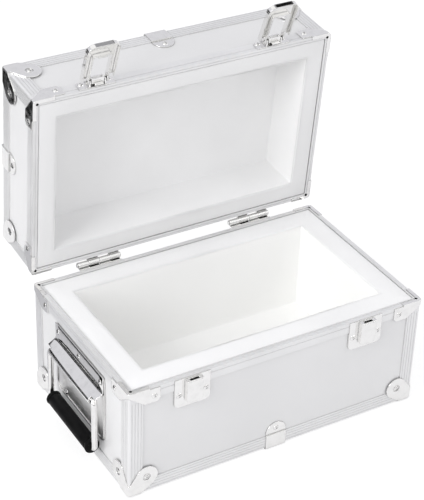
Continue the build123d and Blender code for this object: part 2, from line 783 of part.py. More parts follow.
def hook():
    """The hook in its closed place: two arms on the link pin, a shelf, and a barbed tongue."""
    link = crank_point(crank_closed_angle)
    half = hook_half_width
    slot_edge = front_sheet - keeper_slot_inner
    leg_inner = slot_edge - hook_leg_gap
    leg_outer = leg_inner - hook_sheet
    arm_outer = link[0] - link_eye_radius / 2
    arm_inner = link[0] + link_eye_radius
    shelf_top = link[1] - link_eye_radius + hook_sheet / 4
    shelf_low = shelf_top - hook_shelf
    barb_top = keeper_box_top - keeper_lip - hook_slack
    tip = barb_top - hook_barb_height
    barb_inner = slot_edge + hook_grip
    shoulder = keeper_box_top + hook_shoulder_gap
    bevel = hook_sheet / 2
    arm = disc(link, link_eye_radius)
    arm += Polygon((arm_outer, shelf_low), (arm_inner, shelf_low), (arm_inner, link[1]),
                   (arm_outer, link[1]), align=None)
    piece = both_sides(arm, half - hook_arm, half)
    shelf = Polygon((arm_outer, shelf_low), (leg_inner, shelf_low), (leg_inner, shelf_top),
                    (arm_outer, shelf_top), align=None)
    piece += side_extrude(shelf, -half, half)
    neck = Polygon((leg_outer, shoulder), (leg_inner, shoulder), (leg_inner, shelf_top),
                   (leg_outer, shelf_top), align=None)
    piece += side_extrude(neck, -half, half)
    tongue = Polygon((leg_outer, shelf_top), (leg_outer, tip + bevel), (leg_outer + bevel, tip),
                     (leg_inner, tip), (barb_inner, tip + bevel), (barb_inner, barb_top),
                     (leg_inner, barb_top), (leg_inner, shelf_top), align=None)
    piece += side_extrude(tongue, -hook_tip_half_width, hook_tip_half_width)
    bore = disc(link, link_pin_radius + running_clearance)
    return piece - both_sides(bore, half - hook_arm - cut_margin, half + cut_margin)


def hinge_leaf_pair():
    """Both leaves of one hinge round X = 0, lid closed, with the stop that sets the open angle."""
    knuckle = hinge_length / knuckle_count
    ring = disc((hinge_y, hinge_z), knuckle_radius)
    bore = disc((hinge_y, hinge_z), hinge_pin_radius + running_clearance)
    leaf_back = face_y + hinge_leaf
    web_low = hinge_z - knuckle_radius
    web_high = hinge_z + knuckle_radius
    base_leaf_sketch = Polygon((face_y, base_rim_height - hinge_leaf_drop),
                               (leaf_back, base_rim_height - hinge_leaf_drop), (leaf_back, web_low),
                               (leaf_back, web_low + hinge_leaf), (face_y, web_low + hinge_leaf),
                               align=None)
    lid_leaf_sketch = Polygon((face_y, web_high - hinge_leaf), (leaf_back, web_high - hinge_leaf),
                              (leaf_back, lid_rim + hinge_leaf_drop),
                              (face_y, lid_rim + hinge_leaf_drop), align=None)
    base_web = Polygon((face_y, web_low), (hinge_y, web_low), (hinge_y, web_low + hinge_leaf),
                       (face_y, web_low + hinge_leaf), align=None)
    lid_web = Polygon((face_y, web_high - hinge_leaf), (hinge_y, web_high - hinge_leaf),
                      (hinge_y, web_high), (face_y, web_high), align=None)
    tail_top = web_low - hinge_tail_clearance
    tail_low = tail_top - hinge_leaf
    tail_back = hinge_y + knuckle_radius + hinge_tail_clearance
    riser_top = hinge_z + hinge_stop_height
    tail = Polygon((face_y, tail_low), (tail_back + hinge_leaf, tail_low),
                   (tail_back + hinge_leaf, riser_top), (tail_back, riser_top),
                   (tail_back, tail_top), (face_y, tail_top), align=None)
    stop_far = hinge_y - hinge_stop_height
    stop_near = hinge_y - hinge_stop_setback
    stop = Polygon((stop_far, web_high), (stop_near, web_high), (stop_near, web_high + hinge_leaf),
                   (stop_far, web_high + hinge_leaf), align=None)
    base_leaf = side_extrude(base_leaf_sketch, -hinge_length / 2, hinge_length / 2)
    lid_leaf = side_extrude(lid_leaf_sketch, -hinge_length / 2, hinge_length / 2)
    for index in range(knuckle_count):
        x0 = -hinge_length / 2 + index * knuckle + knuckle_gap / 2
        x1 = x0 + knuckle - knuckle_gap
        if index % 2 == 0:
            base_leaf += side_extrude(ring + base_web, x0, x1)
        else:
            lid_leaf += side_extrude(ring + lid_web, x0, x1)
            base_leaf += side_extrude(tail, x0, x1)
            base_leaf += side_extrude(stop, x0, x1).rotate(hinge_axis, -open_angle)
    pin_bore = side_extrude(bore, -hinge_length, hinge_length)
    return base_leaf - pin_bore, lid_leaf - pin_bore


def hinge_pin():
    """The hinge pin with a small head at each end."""
    half = hinge_length / 2
    pin = side_extrude(disc((hinge_y, hinge_z), hinge_pin_radius), -half, half)
    head = disc((hinge_y, hinge_z), hinge_pin_radius + hinge_pin_head / 2)
    return pin + both_sides(head, half, half + hinge_pin_head)


def hinge_rivet_rows(z):
    """Two rivets for each leaf, at the given height."""
    rows = []
    grip = hinge_leaf + profile_wall + board
    for centre in (-hinge_x, hinge_x):
        for side in (-1, 1):
            x = centre + side * hinge_rivet_spread / 2
            rows.append(((x, face_y + hinge_leaf, z), (0, 1, 0), grip, rivet_head_height))
    return rows


def handle_rivet_rows():
    """Rivets of the left handle: three in the hood flange and two low in the backing plate."""
    plate_face = -face_x - handle_plate_sheet + profile_wall
    rows = []
    for y in (-handle_top_rivet_spread / 2, 0, handle_top_rivet_spread / 2):
        rows.append(((plate_face - handle_hood_sheet, y, handle_top_rivet_height), (-1, 0, 0),
                     handle_hood_sheet + handle_plate_sheet + board, rivet_head_height))
    for y in (-handle_low_rivet_spread / 2, handle_low_rivet_spread / 2):
        rows.append(((plate_face, y, handle_low_rivet_height), (-1, 0, 0),
                     handle_plate_sheet + board, rivet_head_height))
    return rows


def end_extrude(sketch, half):
    """A sketch whose X is the distance out of the left end face and Y is height, along world Y."""
    plane = Plane(origin=(-face_x, -half, 0), x_dir=(-1, 0, 0), z_dir=(0, 1, 0))
    return plane.location * raised(sketch, 2 * half)


def handle_plate():
    """The backing plate on the left end board, with a raised bead round its lower part."""
    mid = (handle_plate_bottom + handle_plate_top) / 2
    height = handle_plate_top - handle_plate_bottom
    outline = RectangleRounded(handle_plate_width, height, handle_plate_corner)
    bead_outer = offset(outline, amount=-bead_inset)
    bead = bead_outer - offset(bead_outer, amount=-bead_width)
    bead &= Pos(0, -mid + hood_flange_bottom - cut_margin - height / 2) * Rectangle(
        handle_plate_width, height)
    face = Plane(origin=(-board_x, 0, mid), x_dir=(0, -1, 0), z_dir=(-1, 0, 0))
    piece = face.location * raised(outline, handle_plate_sheet)
    return piece + face.location * raised(bead, handle_plate_sheet + bead_height)


def handle_hood():
    """The hood: riveted flange, sloping sheet and the barrel rolled round the bail."""
    seat = handle_plate_sheet - profile_wall
    skin = handle_hood_sheet
    flange = Polygon((seat, hood_flange_bottom), (seat + skin, hood_flange_bottom),
                     (seat + skin, hood_flange_top), (seat, hood_flange_top), align=None)
    centre = (bail_standoff, bail_axis_height)
    bore = bail_rod_radius + bail_bore_clearance
    start = (seat + skin / 2, hood_flange_bottom + skin / 2)
    middle = bore + skin / 2
    gap = math.hypot(centre[0] - start[0], centre[1] - start[1])
    aim = math.atan2(centre[1] - start[1], centre[0] - start[0]) + math.asin(middle / gap)
    run = math.sqrt(gap ** 2 - middle ** 2)
    along = (math.cos(aim), math.sin(aim))
    out = (-along[1] * skin / 2, along[0] * skin / 2)
    end = (start[0] + run * along[0], start[1] + run * along[1])
    slope = Polygon((start[0] - out[0], start[1] - out[1]), (start[0] + out[0], start[1] + out[1]),
                    (end[0] + out[0], end[1] + out[1]), (end[0] - out[0], end[1] - out[1]),
                    align=None)
    barrel = Pos(*centre) * (Circle(bore + skin) - Circle(bore))
    half = hood_sheet_width / 2
    barrel_half = bail_spread / 2 - bail_bend - barrel_end_gap
    piece = end_extrude(flange, half) + end_extrude(slope, half)
    clear = bail_axis_height + bail_rod_radius + bail_stop_gap
    for side in (-1, 1):
        y0, y1 = sorted((side * barrel_half, side * (half + cut_margin)))
        piece -= block(-case_length, -face_x - seat - skin, y0, y1, 0, clear)
    return piece + end_extrude(barrel, barrel_half)


def handle_bail():
    """The bail: one closed loop of round rod, hanging straight down."""
    arm_y = bail_spread / 2
    bend = bail_bend
    rod = bail_rod_radius
    low = bail_axis_height - bail_drop
    run = bail_spread - 2 * bend
    level = Rot(90, 0, 0) * Cylinder(rod, run)
    upright = Cylinder(rod, bail_drop - 2 * bend)
    middle = (low + bail_axis_height) / 2
    loop = Pos(0, 0, bail_axis_height) * level + Pos(0, 0, low) * level
    for side in (-1, 1):
        loop += Pos(0, side * arm_y, middle) * upright
    quarter = side_plane(0).location * Torus(bend, rod, major_angle=90, align=None)
    first = Pos(0, arm_y - bend, bail_axis_height - bend) * quarter
    second = mirror(first, about=Plane.XZ)
    flip = Plane(origin=(0, 0, middle), z_dir=(0, 0, 1))
    loop += first + second + mirror(first, about=flip) + mirror(second, about=flip)
    return Pos(-face_x - bail_standoff, 0, 0) * loop


def handle_grip():
    """The rubber grip on the lower run of the bail, with a neck and a collar near each end."""
    half = bail_spread / 2 - bail_bend - grip_end_gap
    collar = half - grip_collar_length
    neck = collar - grip_neck_length
    profile = Polyline((0, 0), (grip_radius, 0), (grip_radius, neck), (grip_neck_radius, neck),
                       (grip_neck_radius, collar), (grip_collar_radius, collar),
                       (grip_collar_radius, half - sheet), (grip_collar_radius - sheet, half),
                       (0, half), (0, 0))
    right = revolve(Plane.XZ.location * make_face(profile), Axis.Z)
    grip = right + mirror(right, about=Plane.XY)
    grip -= Cylinder(bail_rod_radius + fixed_clearance, 4 * half)
    place = Pos(-face_x - bail_standoff, 0, bail_axis_height - bail_drop)
    return place * (Rot(90, 0, 0) * grip)


def save(node, solids):
    """Write one node's solids to its own file, moved to the row's origin."""
    flat = []
    for shape in solids:
        flat.extend((Pos(0, -footprint_shift, 0) * shape).solids())
    shape = flat[0] if len(flat) == 1 else Compound(children=flat)
    export_step(shape, "parts/%s.step" % node)


def on_base(shape):
    """From the half's own frame to the base's place."""
    return Pos(0, 0, sheet) * shape


def on_lid(shape):
    """From the half's own frame to the closed lid, then open about the hinge."""
    closed = Pos(0, 0, lid_top) * mirror(shape, about=Plane.XY)
    return opened(closed)


def opened(shape):
    """A closed lid piece turned to the open pose."""
    return shape.rotate(hinge_axis, -open_angle)


def to_right(shape):
    """The right-hand copy of a left-hand piece."""
    return mirror(shape, about=Plane.YZ)


def lid_rows(rows):
    """Rivet rows of the closed lid, moved into the frame of the half."""
    moved = []
    for point, outward, grip, head in rows:
        moved.append(((point[0], point[1], lid_top - point[2]), outward, grip, head))
    return moved


def base_rows(rows):
    """Rivet rows of the base, moved into the frame of the half."""
    moved = []
    for point, outward, grip, head in rows:
        moved.append(((point[0], point[1], point[2] - sheet), outward, grip, head))
    return moved


def mirrored_rows(rows):
    """The same rivets on the right-hand side."""
    return [((-p[0], p[1], p[2]), (-o[0], o[1], o[2]), grip, head) for p, o, grip, head in rows]


def save_half(prefix, pieces, closed_name, place):
    """Write the pieces of one half under their names."""
    for name, solids in pieces.items():
        node = prefix + "_" + name.replace("closed", closed_name)
        save(node, [place(solid) for solid in solids])


def make_base():
    """The base: shell, foam, keepers, hinge base leaves and the fixed parts of the handles."""
    left_handle = handle_rivet_rows()
    keeper_rows = keeper_rivet_rows()
    hinge_rows = hinge_rivet_rows(base_rim_height - hinge_rivet_from_rim)
    handle_rows = left_handle + mirrored_rows(left_handle)
    extra = base_rows(keeper_rows + hinge_rows + handle_rows)
    pocket = (base_pocket_length, base_pocket_width, base_pocket_depth)
    pieces = build_half(base_profile_height, True, [(0, -1), (0, 1)], extra, pocket)
    save_half("base", pieces, "bottom", on_base)
    for name, centre in latch_centres():
        save("keeper_" + name, [drill(keeper(centre), keeper_rows)])
    save("keeper_rivets", make_rivets(keeper_rows))
    save("hinge_base_rivets", make_rivets(hinge_rows))
    plate = drill(handle_plate(), left_handle)
    hood = drill(handle_hood(), left_handle)
    rivets = make_rivets(left_handle)
    for side, turn in (("left", lambda s: s), ("right", to_right)):
        save("handle_plate_" + side, [turn(plate)])
        save("handle_hood_" + side, [turn(hood)])
        save("handle_rivets_" + side, [turn(r) for r in rivets])
        save("handle_bail_" + side, [turn(handle_bail())])
        save("handle_grip_" + side, [turn(handle_grip())])


def make_lid():
    """The lid: shell, foam and the fixed parts of the latches, in the open pose."""
    latch_rows = latch_rivet_rows()
    hinge_rows = hinge_rivet_rows(lid_rim + hinge_rivet_from_rim)
    extra = lid_rows(latch_rows + hinge_rows)
    pocket = (lid_pocket_length, lid_pocket_width, lid_pocket_depth)
    directions = [(0, -1), (0, 1), (-1, 0), (1, 0)]
    pieces = build_half(lid_profile_height, False, directions, extra, pocket)
    save_half("lid", pieces, "top", on_lid)
    save("latch_rivets", [opened(r) for r in make_rivets(latch_rows)])
    save("hinge_lid_rivets", [opened(r) for r in make_rivets(hinge_rows)])


def make_latches():
    """The moving latch pieces, with the levers raised as the photographed pose has them."""
    rest_angle = crank_closed_angle - lever_closing_angle
    closed_at = crank_point(crank_closed_angle)
    rest_at = crank_point(rest_angle)
    lift = Pos(0, rest_at[0] - closed_at[0], rest_at[1] - closed_at[1])
    pivot = Axis((0, pivot_y, pivot_z), (1, 0, 0))
    plate = latch_plate()
    open_lever = lever().rotate(pivot, -lever_closing_angle)
    open_pin = link_pin().rotate(pivot, -lever_closing_angle)
    catch = lift * hook()
    for name, centre in latch_centres():
        place = Pos(centre, 0, 0)
        save("latch_plate_" + name, [opened(drill(place * plate, latch_rivet_rows()))])
        save("latch_pivot_pins_" + name, [opened(place * pin) for pin in pivot_pins()])
        save("latch_lever_" + name, [opened(place * open_lever)])
        save("latch_link_pin_" + name, [opened(place * open_pin)])
        save("latch_hook_" + name, [opened(place * catch)])


def make_hinges():
    """Two hinges: base leaf, lid leaf and pin each."""
    base_leaf, lid_leaf = hinge_leaf_pair()
    base_holes = hinge_rivet_rows(base_rim_height - hinge_rivet_from_rim)
    lid_holes = hinge_rivet_rows(lid_rim + hinge_rivet_from_rim)
    for name, centre in (("left", -hinge_x), ("right", hinge_x)):
        place = Pos(centre, 0, 0)
        save("hinge_base_leaf_" + name, [drill(place * base_leaf, base_holes)])
        save("hinge_lid_leaf_" + name, [opened(drill(place * lid_leaf, lid_holes))])
        save("hinge_pin_" + name, [opened(place * hinge_pin())])


make_base()
make_lid()
make_latches()
make_hinges()
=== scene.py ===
"""Dresses the weight case: finishes, foam linings, handles, fittings, floor, light and camera."""

import logging
import math
from collections.abc import Callable
from dataclasses import dataclass, field
from enum import Enum

import bmesh
import bpy
from mathutils import Matrix, Vector


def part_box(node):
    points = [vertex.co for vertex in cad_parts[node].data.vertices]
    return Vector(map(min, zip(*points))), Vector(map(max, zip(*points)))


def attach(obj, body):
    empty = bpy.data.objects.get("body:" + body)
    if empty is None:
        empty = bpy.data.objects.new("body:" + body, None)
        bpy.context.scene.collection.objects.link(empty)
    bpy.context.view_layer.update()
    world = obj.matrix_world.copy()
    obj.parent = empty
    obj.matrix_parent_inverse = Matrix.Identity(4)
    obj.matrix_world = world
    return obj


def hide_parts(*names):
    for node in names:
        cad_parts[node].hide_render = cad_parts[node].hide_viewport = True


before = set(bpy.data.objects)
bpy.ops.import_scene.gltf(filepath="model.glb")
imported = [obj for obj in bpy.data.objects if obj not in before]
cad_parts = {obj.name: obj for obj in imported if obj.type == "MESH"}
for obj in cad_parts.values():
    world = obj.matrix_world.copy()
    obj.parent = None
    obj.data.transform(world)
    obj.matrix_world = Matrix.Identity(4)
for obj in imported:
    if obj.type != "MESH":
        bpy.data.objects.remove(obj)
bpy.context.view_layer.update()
LOG = logging.getLogger("weight_case")
MM = 0.001
CASE_CENTRE_Y = -33.4
HINGE_Y = 104.2
HINGE_Z = 122.4
OPEN_ANGLE = 85.0
CASE_HALF_LENGTH = 160.0
CASE_HALF_DEPTH = 99.0
STRIP_HOLE_INSET = 4.4
NEAR = 0.1
CLOSE = 0.01
FINE_MERGE = 0.001
FACING = 0.9
CARD_BLUE = 1.05
MIX_FACTOR, MIX_FIRST, MIX_SECOND, MIX_RESULT = 0, 6, 7, 2
Point = tuple[float, float, float]
Colour = tuple[float, float, float]
Pair = tuple[float, float]


class Side(Enum):
    """Which end of the case a piece belongs to."""

    LEFT = -1
    RIGHT = 1

    @property
    def label(self) -> str:
        """The word that node names use for this side."""
        return self.name.lower()


class Half(Enum):
    """The two halves of the case, by the name of the body that carries them."""

    BASE = "base"
    LID = "lid"

    def placement(self) -> Matrix:
        """The move from the closed case, drawn round its own centre, to this half's place.

        Returns:
            The matrix, in metres.
        """
        centre = Matrix.Translation((0.0, CASE_CENTRE_Y * MM, 0.0))
        if self is Half.BASE:
            return centre
        hinge = Matrix.Translation((0.0, HINGE_Y * MM, HINGE_Z * MM))
        swing = Matrix.Rotation(math.radians(-OPEN_ANGLE), 4, "X")
        return centre @ hinge @ swing @ hinge.inverted()


class Bench:
    """The modelling steps that the pieces share."""

    @staticmethod
    def clear() -> None:
        """Leaves edit mode and deselects everything."""
        if bpy.context.mode != "OBJECT":
            bpy.ops.object.mode_set(mode="OBJECT")
        bpy.ops.object.select_all(action="DESELECT")

    @staticmethod
    def hold(piece: bpy.types.Object) -> None:
        """Makes a piece the only one selected, and active.

        Args:
            piece: the piece.
        """
        Bench.clear()
        piece.select_set(True)
        bpy.context.view_layer.objects.active = piece

    @staticmethod
    def edit(piece: bpy.types.Object) -> None:
        """Opens a piece for editing."""
        Bench.hold(piece)
        bpy.ops.object.mode_set(mode="EDIT")

    @staticmethod
    def named(name: str) -> bpy.types.Object:
        """Names the newest piece and puts its place into its mesh.

        Args:
            name: the name of the piece and its mesh.

        Returns:
            The piece.
        """
        piece = bpy.context.object
        piece.name = name
        piece.data.name = name
        Bench.settle(piece)
        return piece

    @staticmethod
    def settle(piece: bpy.types.Object) -> None:
        """Puts a piece's place, turn and scale into its mesh."""
        Bench.hold(piece)
        bpy.ops.object.transform_apply(location=True, rotation=True, scale=True)

    @staticmethod
    def block(name: str, low: Point, high: Point) -> bpy.types.Object:
        """Adds a box between two corners.

        Args:
            name: the piece's name.
            low: the lowest corner, in millimetres.
            high: the highest corner, in millimetres.

        Returns:
            The new piece.
        """
        Bench.clear()
        centre = [(a + b) / 2 * MM for a, b in zip(low, high)]
        size = [(b - a) * MM for a, b in zip(low, high)]
        bpy.ops.mesh.primitive_cube_add(size=1.0, location=centre, scale=size)
        return Bench.named(name)

    @staticmethod
    def pick(piece: bpy.types.Object, kind: str, test: Callable[..., bool]) -> int:
        """Selects parts of the mesh that is being edited, by their place.

        Args:
            piece: the piece in edit mode.
            kind: VERT, EDGE or FACE.
            test: takes a vertex's place, an edge's two ends, or a face's centre and normal, in
                millimetres, and says whether it is wanted.

        Returns:
            How many were selected.
        """
        bpy.ops.mesh.select_mode(type=kind)
        bpy.ops.mesh.select_all(action="DESELECT")
        mesh = bmesh.from_edit_mesh(piece.data)
        scale = 1.0 / MM
        if kind == "VERT":
            wanted = [v for v in mesh.verts if test(v.co * scale)]
        elif kind == "EDGE":
            wanted = [e for e in mesh.edges if test(e.verts[0].co * scale, e.verts[1].co * scale)]
        else:
            mesh.normal_update()
            wanted = [f for f in mesh.faces if test(f.calc_center_median() * scale, f.normal)]
        for part in wanted:
            part.select_set(True)
        bmesh.update_edit_mesh(piece.data)
        return len(wanted)

    @staticmethod
    def draw_out(*offset: float) -> None:
        """Extrudes the selection by an offset in millimetres."""
        move = {"value": [v * MM for v in offset]}
        bpy.ops.mesh.extrude_region_move(TRANSFORM_OT_translate=move)

    @staticmethod
    def widen(factor: Point, centre: Point) -> None:
        """Scales the selection about a point in millimetres."""
        bpy.ops.transform.resize(value=factor, center_override=[v * MM for v in centre])

    @staticmethod
    def tidy_faces(merge: float = 0.01) -> None:
        """Merges doubles in the open mesh and turns its faces outwards.

        Args:
            merge: how near two points are merged, in millimetres.
        """
        bpy.ops.mesh.select_all(action="SELECT")
        bpy.ops.mesh.remove_doubles(threshold=merge * MM)
        bpy.ops.mesh.normals_make_consistent(inside=False)

    @staticmethod
    def modify(piece: bpy.types.Object, kind: str, **values: object) -> None:
        """Adds a modifier and applies it.

        Args:
            piece: the piece.
            kind: the modifier's type name.
            values: its settings.
        """
        Bench.hold(piece)
        made = piece.modifiers.new(kind.lower(), kind)
        for key, value in values.items():
            setattr(made, key, value)
        bpy.ops.object.modifier_apply(modifier=made.name)

    @staticmethod
    def smooth(piece: bpy.types.Object, degrees: float = 35.0) -> None:
        """Shades a piece smooth except across edges sharper than the angle."""
        Bench.hold(piece)
        bpy.ops.object.shade_smooth_by_angle(angle=math.radians(degrees))

    @staticmethod
    def place(piece: bpy.types.Object, move: Matrix) -> None:
        """Moves a piece by a matrix and puts its place into its mesh.

        Args:
            piece: the piece.
            move: the matrix, in metres.
        """
        piece.matrix_world = move
        bpy.context.view_layer.update()
        Bench.settle(piece)

    @staticmethod
    def mirrored(piece: bpy.types.Object, name: str) -> bpy.types.Object:
        """Copies a left-hand piece to the right-hand end, with its own mesh.

        Args:
            piece: the left-hand piece.
            name: the copy's name.

        Returns:
            The copy.
        """
        Bench.hold(piece)
        bpy.ops.object.duplicate()
        twin = bpy.context.object
        twin.name = name
        twin.data.name = name
        twin.scale = (-1.0, 1.0, 1.0)
        Bench.settle(twin)
        Bench.edit(twin)
        Bench.tidy_faces()
        Bench.clear()
        return twin

    @staticmethod
    def dress(piece: bpy.types.Object, finish: bpy.types.Material, body: str, slot: str,
              *nodes: str) -> None:
        """Gives a finished piece its material and its body, and hides the carried-over nodes that
        it stands for.

        Args:
            piece: the piece.
            finish: its material.
            body: the body that carries it.
            slot: the record's material slot; not used.
            nodes: the carried-over nodes that it replaces.
        """
        piece.data.materials.clear()
        piece.data.materials.append(finish)
        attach(piece, body)
        if nodes:
            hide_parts(*nodes)
        LOG.info("%s: %d faces on %s", piece.name, len(piece.data.polygons), body)


class Graph:
    """A small helper that lays out shader nodes in one material."""

    def __init__(self, name: str) -> None:
        """Starts an empty material.

        Args:
            name: the material's name.
        """
        self.material = bpy.data.materials.new(name)
        self.material.use_nodes = True
        self.tree = self.material.node_tree
        self.tree.nodes.clear()
        self.output = self.tree.nodes.new("ShaderNodeOutputMaterial")

    def node(self, kind: str, **values: object) -> bpy.types.Node:
        """Adds a node and sets its properties or input values.

        Args:
            kind: the node's type name.
            values: node properties, or inputs by their names with spaces as underscores.

        Returns:
            The new node.
        """
        made = self.tree.nodes.new(kind)
        for key, value in values.items():
            if hasattr(made, key):
                setattr(made, key, value)
            else:
                made.inputs[key.replace("_", " ")].default_value = value
        return made

    def link(self, source: bpy.types.NodeSocket, target: bpy.types.NodeSocket) -> None:
        """Joins two sockets."""
        self.tree.links.new(source, target)

    def coordinates(self, stretch: Point = (1.0, 1.0, 1.0)) -> bpy.types.NodeSocket:
        """Object coordinates, stretched along the axes.

        Args:
            stretch: the scale along each axis.

        Returns:
            The vector socket to feed a texture.
        """
        where = self.node("ShaderNodeTexCoord")
        mapping = self.node("ShaderNodeMapping")
        mapping.inputs["Scale"].default_value = stretch
        self.link(where.outputs["Object"], mapping.inputs["Vector"])
        return mapping.outputs["Vector"]

    def noise(self, vector: bpy.types.NodeSocket, scale: float, detail: float = 3.0,
              roughness: float = 0.5) -> bpy.types.NodeSocket:
        """A noise pattern.

        Args:
            vector: the coordinates to read.
            scale: cycles for each metre.
            detail: octaves.
            roughness: weight of the finer octaves.

        Returns:
            The factor socket.
        """
        made = self.node("ShaderNodeTexNoise", Scale=scale, Detail=detail, Roughness=roughness)
        self.link(vector, made.inputs["Vector"])
        return made.outputs["Fac"]

    def spread(self, source: bpy.types.NodeSocket, low: float, high: float,
               from_low: float = 0.3, from_high: float = 0.7) -> bpy.types.NodeSocket:
        """Maps a factor to a range.

        Args:
            source: the factor.
            low: the result at from_low.
            high: the result at from_high.
            from_low: the factor that gives low.
            from_high: the factor that gives high.

        Returns:
            The result socket.
        """
        made = self.node("ShaderNodeMapRange")
        made.inputs["From Min"].default_value = from_low
        made.inputs["From Max"].default_value = from_high
        made.inputs["To Min"].default_value = low
        made.inputs["To Max"].default_value = high
        self.link(source, made.inputs["Value"])
        return made.outputs["Result"]

    def shades(self, source: bpy.types.NodeSocket, dark: Colour,
               light: Colour) -> bpy.types.NodeSocket:
        """Blends two colours by a factor.

        Args:
            source: the factor.
            dark: the colour at 0.
            light: the colour at 1.

        Returns:
            The colour socket.
        """
        made = self.node("ShaderNodeMix", data_type="RGBA")
        made.inputs[MIX_FIRST].default_value = (*dark, 1.0)
        made.inputs[MIX_SECOND].default_value = (*light, 1.0)
        self.link(source, made.inputs[MIX_FACTOR])
        return made.outputs[MIX_RESULT]

    def bump(self, height: bpy.types.NodeSocket, depth: float, strength: float,
             soften: float = 0.0) -> bpy.types.NodeSocket:
        """Bump from a height, over normals rounded at sharp edges.

        Args:
            height: the height factor.
            depth: the bump's distance in metres.
            strength: the bump's strength.
            soften: radius of the rounded edges in metres, or 0 for none.

        Returns:
            The normal socket.
        """
        made = self.node("ShaderNodeBump", Strength=strength, Distance=depth)
        self.link(height, made.inputs["Height"])
        if soften > 0.0:
            edge = self.node("ShaderNodeBevel", samples=4, Radius=soften)
            self.link(edge.outputs["Normal"], made.inputs["Normal"])
        return made.outputs["Normal"]

    def nooks(self, reach: float, low: float = 0.25, high: float = 0.85) -> bpy.types.NodeSocket:
        """Marks nooks and places where parts meet, by ambient occlusion, for the shade painted
        there.

        Args:
            reach: how far off a neighbouring surface still counts, in metres.
            low: the open share of the sky where the mark is whole.
            high: the open share where it ends.

        Returns:
            The factor socket, 1 deep in a nook.
        """
        open_share = self.node("ShaderNodeAmbientOcclusion", samples=6, Distance=reach)
        return self.spread(open_share.outputs["AO"], 1.0, 0.0, low, high)

    def over(self, factor: bpy.types.NodeSocket, below: bpy.types.NodeSocket,
             tone: Colour) -> bpy.types.NodeSocket:
        """Lays a tone over a colour.

        Args:
            factor: how much of the tone shows.
            below: the colour under it.
            tone: the tone.

        Returns:
            The colour socket.
        """
        made = self.node("ShaderNodeMix", data_type="RGBA")
        self.link(factor, made.inputs[MIX_FACTOR])
        self.link(below, made.inputs[MIX_FIRST])
        made.inputs[MIX_SECOND].default_value = (*tone, 1.0)
        return made.outputs[MIX_RESULT]

    def share(self, factor: bpy.types.NodeSocket, amount: float) -> bpy.types.NodeSocket:
        """A factor times an amount.

        Args:
            factor: the factor.
            amount: what it is multiplied by.

        Returns:
            The product socket.
        """
        made = self.node("ShaderNodeMath", operation="MULTIPLY")
        self.link(factor, made.inputs[0])
        made.inputs[1].default_value = amount
        return made.outputs[0]

    def surface(self, colour: bpy.types.NodeSocket, roughness: bpy.types.NodeSocket,
                normal: bpy.types.NodeSocket, **values: object) -> bpy.types.Material:
        """Closes the graph with a principled surface.

        Args:
            colour: base colour socket.
            roughness: roughness socket.
            normal: normal socket.
            values: constants set on the shader's own sockets.

        Returns:
            The finished material.
        """
        shader = self.node("ShaderNodeBsdfPrincipled", **values)
        self.link(colour, shader.inputs["Base Color"])
        self.link(roughness, shader.inputs["Roughness"])
        self.link(normal, shader.inputs["Normal"])
        self.link(shader.outputs["BSDF"], self.output.inputs["Surface"])
        return self.material


@dataclass(frozen=True)
class LaminateBoard:
    """The pale satin laminate of the boards."""

    name: str = "laminate_board"
    dark: Colour = (0.745, 0.745, 0.743)
    light: Colour = (0.785, 0.785, 0.783)
    # The tone of the shade painted where the board meets other parts.
    joint: Colour = (0.33, 0.33, 0.33)
    joint_reach: float = 0.0012
    joint_shade_share: float = 0.8
    smooth: float = 0.34
    rough: float = 0.46
    cloud_scale: float = 9.0
    grain_scale: float = 2600.0
    smudge_scale: float = 60.0
    grain_depth: float = 0.00003
    grain_strength: float = 0.35
    edge_radius: float = 0.0004

    def material(self) -> bpy.types.Material:
        """Builds the laminate: a faint cloud, an eggshell surface and shade painted where it meets
        other parts.

        Returns:
            The material.
        """
        graph = Graph(self.name)
        where = graph.coordinates()
        cloud = graph.noise(where, self.cloud_scale, 4.0)
        grain = graph.noise(where, self.grain_scale, 2.0)
        colour = graph.shades(graph.spread(cloud, 0.0, 1.0), self.dark, self.light)
        # Painted shade: where the board meets other parts, ambient occlusion darkens it.
        joint_shade_mask = graph.share(graph.nooks(self.joint_reach), self.joint_shade_share)
        colour = graph.over(joint_shade_mask, colour, self.joint)
        smudge = graph.noise(where, self.smudge_scale, 5.0)
        roughness = graph.spread(smudge, self.smooth, self.rough)
        normal = graph.bump(grain, self.grain_depth, self.grain_strength, self.edge_radius)
        return graph.surface(colour, roughness, normal, Metallic=0.1, IOR=1.45)


@dataclass(frozen=True)
class AnodisedProfile:
    """Anodised aluminium profile with die lines along its length."""

    name: str
    stretch: Point
    dark: Colour = (0.79, 0.79, 0.79)
    light: Colour = (0.85, 0.85, 0.85)
    # The tone of the shade painted into each groove and nook.
    groove: Colour = (0.50, 0.50, 0.50)
    groove_reach: float = 0.0010
    groove_shade_share: float = 0.5
    smooth: float = 0.30
    rough: float = 0.42
    line_scale: float = 900.0
    cloud_scale: float = 22.0
    line_depth: float = 0.00002
    line_strength: float = 0.2
    edge_radius: float = 0.0003

    def material(self) -> bpy.types.Material:
        """Builds the metal with fine die lines, a cloudy anodised layer and shade painted into each
        groove and nook.

        Returns:
            The material.
        """
        graph = Graph(self.name)
        lines = graph.noise(graph.coordinates(self.stretch), self.line_scale, 3.0, 0.6)
        cloud = graph.noise(graph.coordinates(), self.cloud_scale, 4.0)
        colour = graph.shades(graph.spread(cloud, 0.0, 1.0), self.dark, self.light)
        # Painted shade: ambient occlusion darkens each groove and nook.
        groove_shade_mask = graph.share(graph.nooks(self.groove_reach), self.groove_shade_share)
        colour = graph.over(groove_shade_mask, colour, self.groove)
        roughness = graph.spread(lines, self.smooth, self.rough)
        normal = graph.bump(lines, self.line_depth, self.line_strength, self.edge_radius)
        return graph.surface(colour, roughness, normal, Metallic=0.55, IOR=1.5)


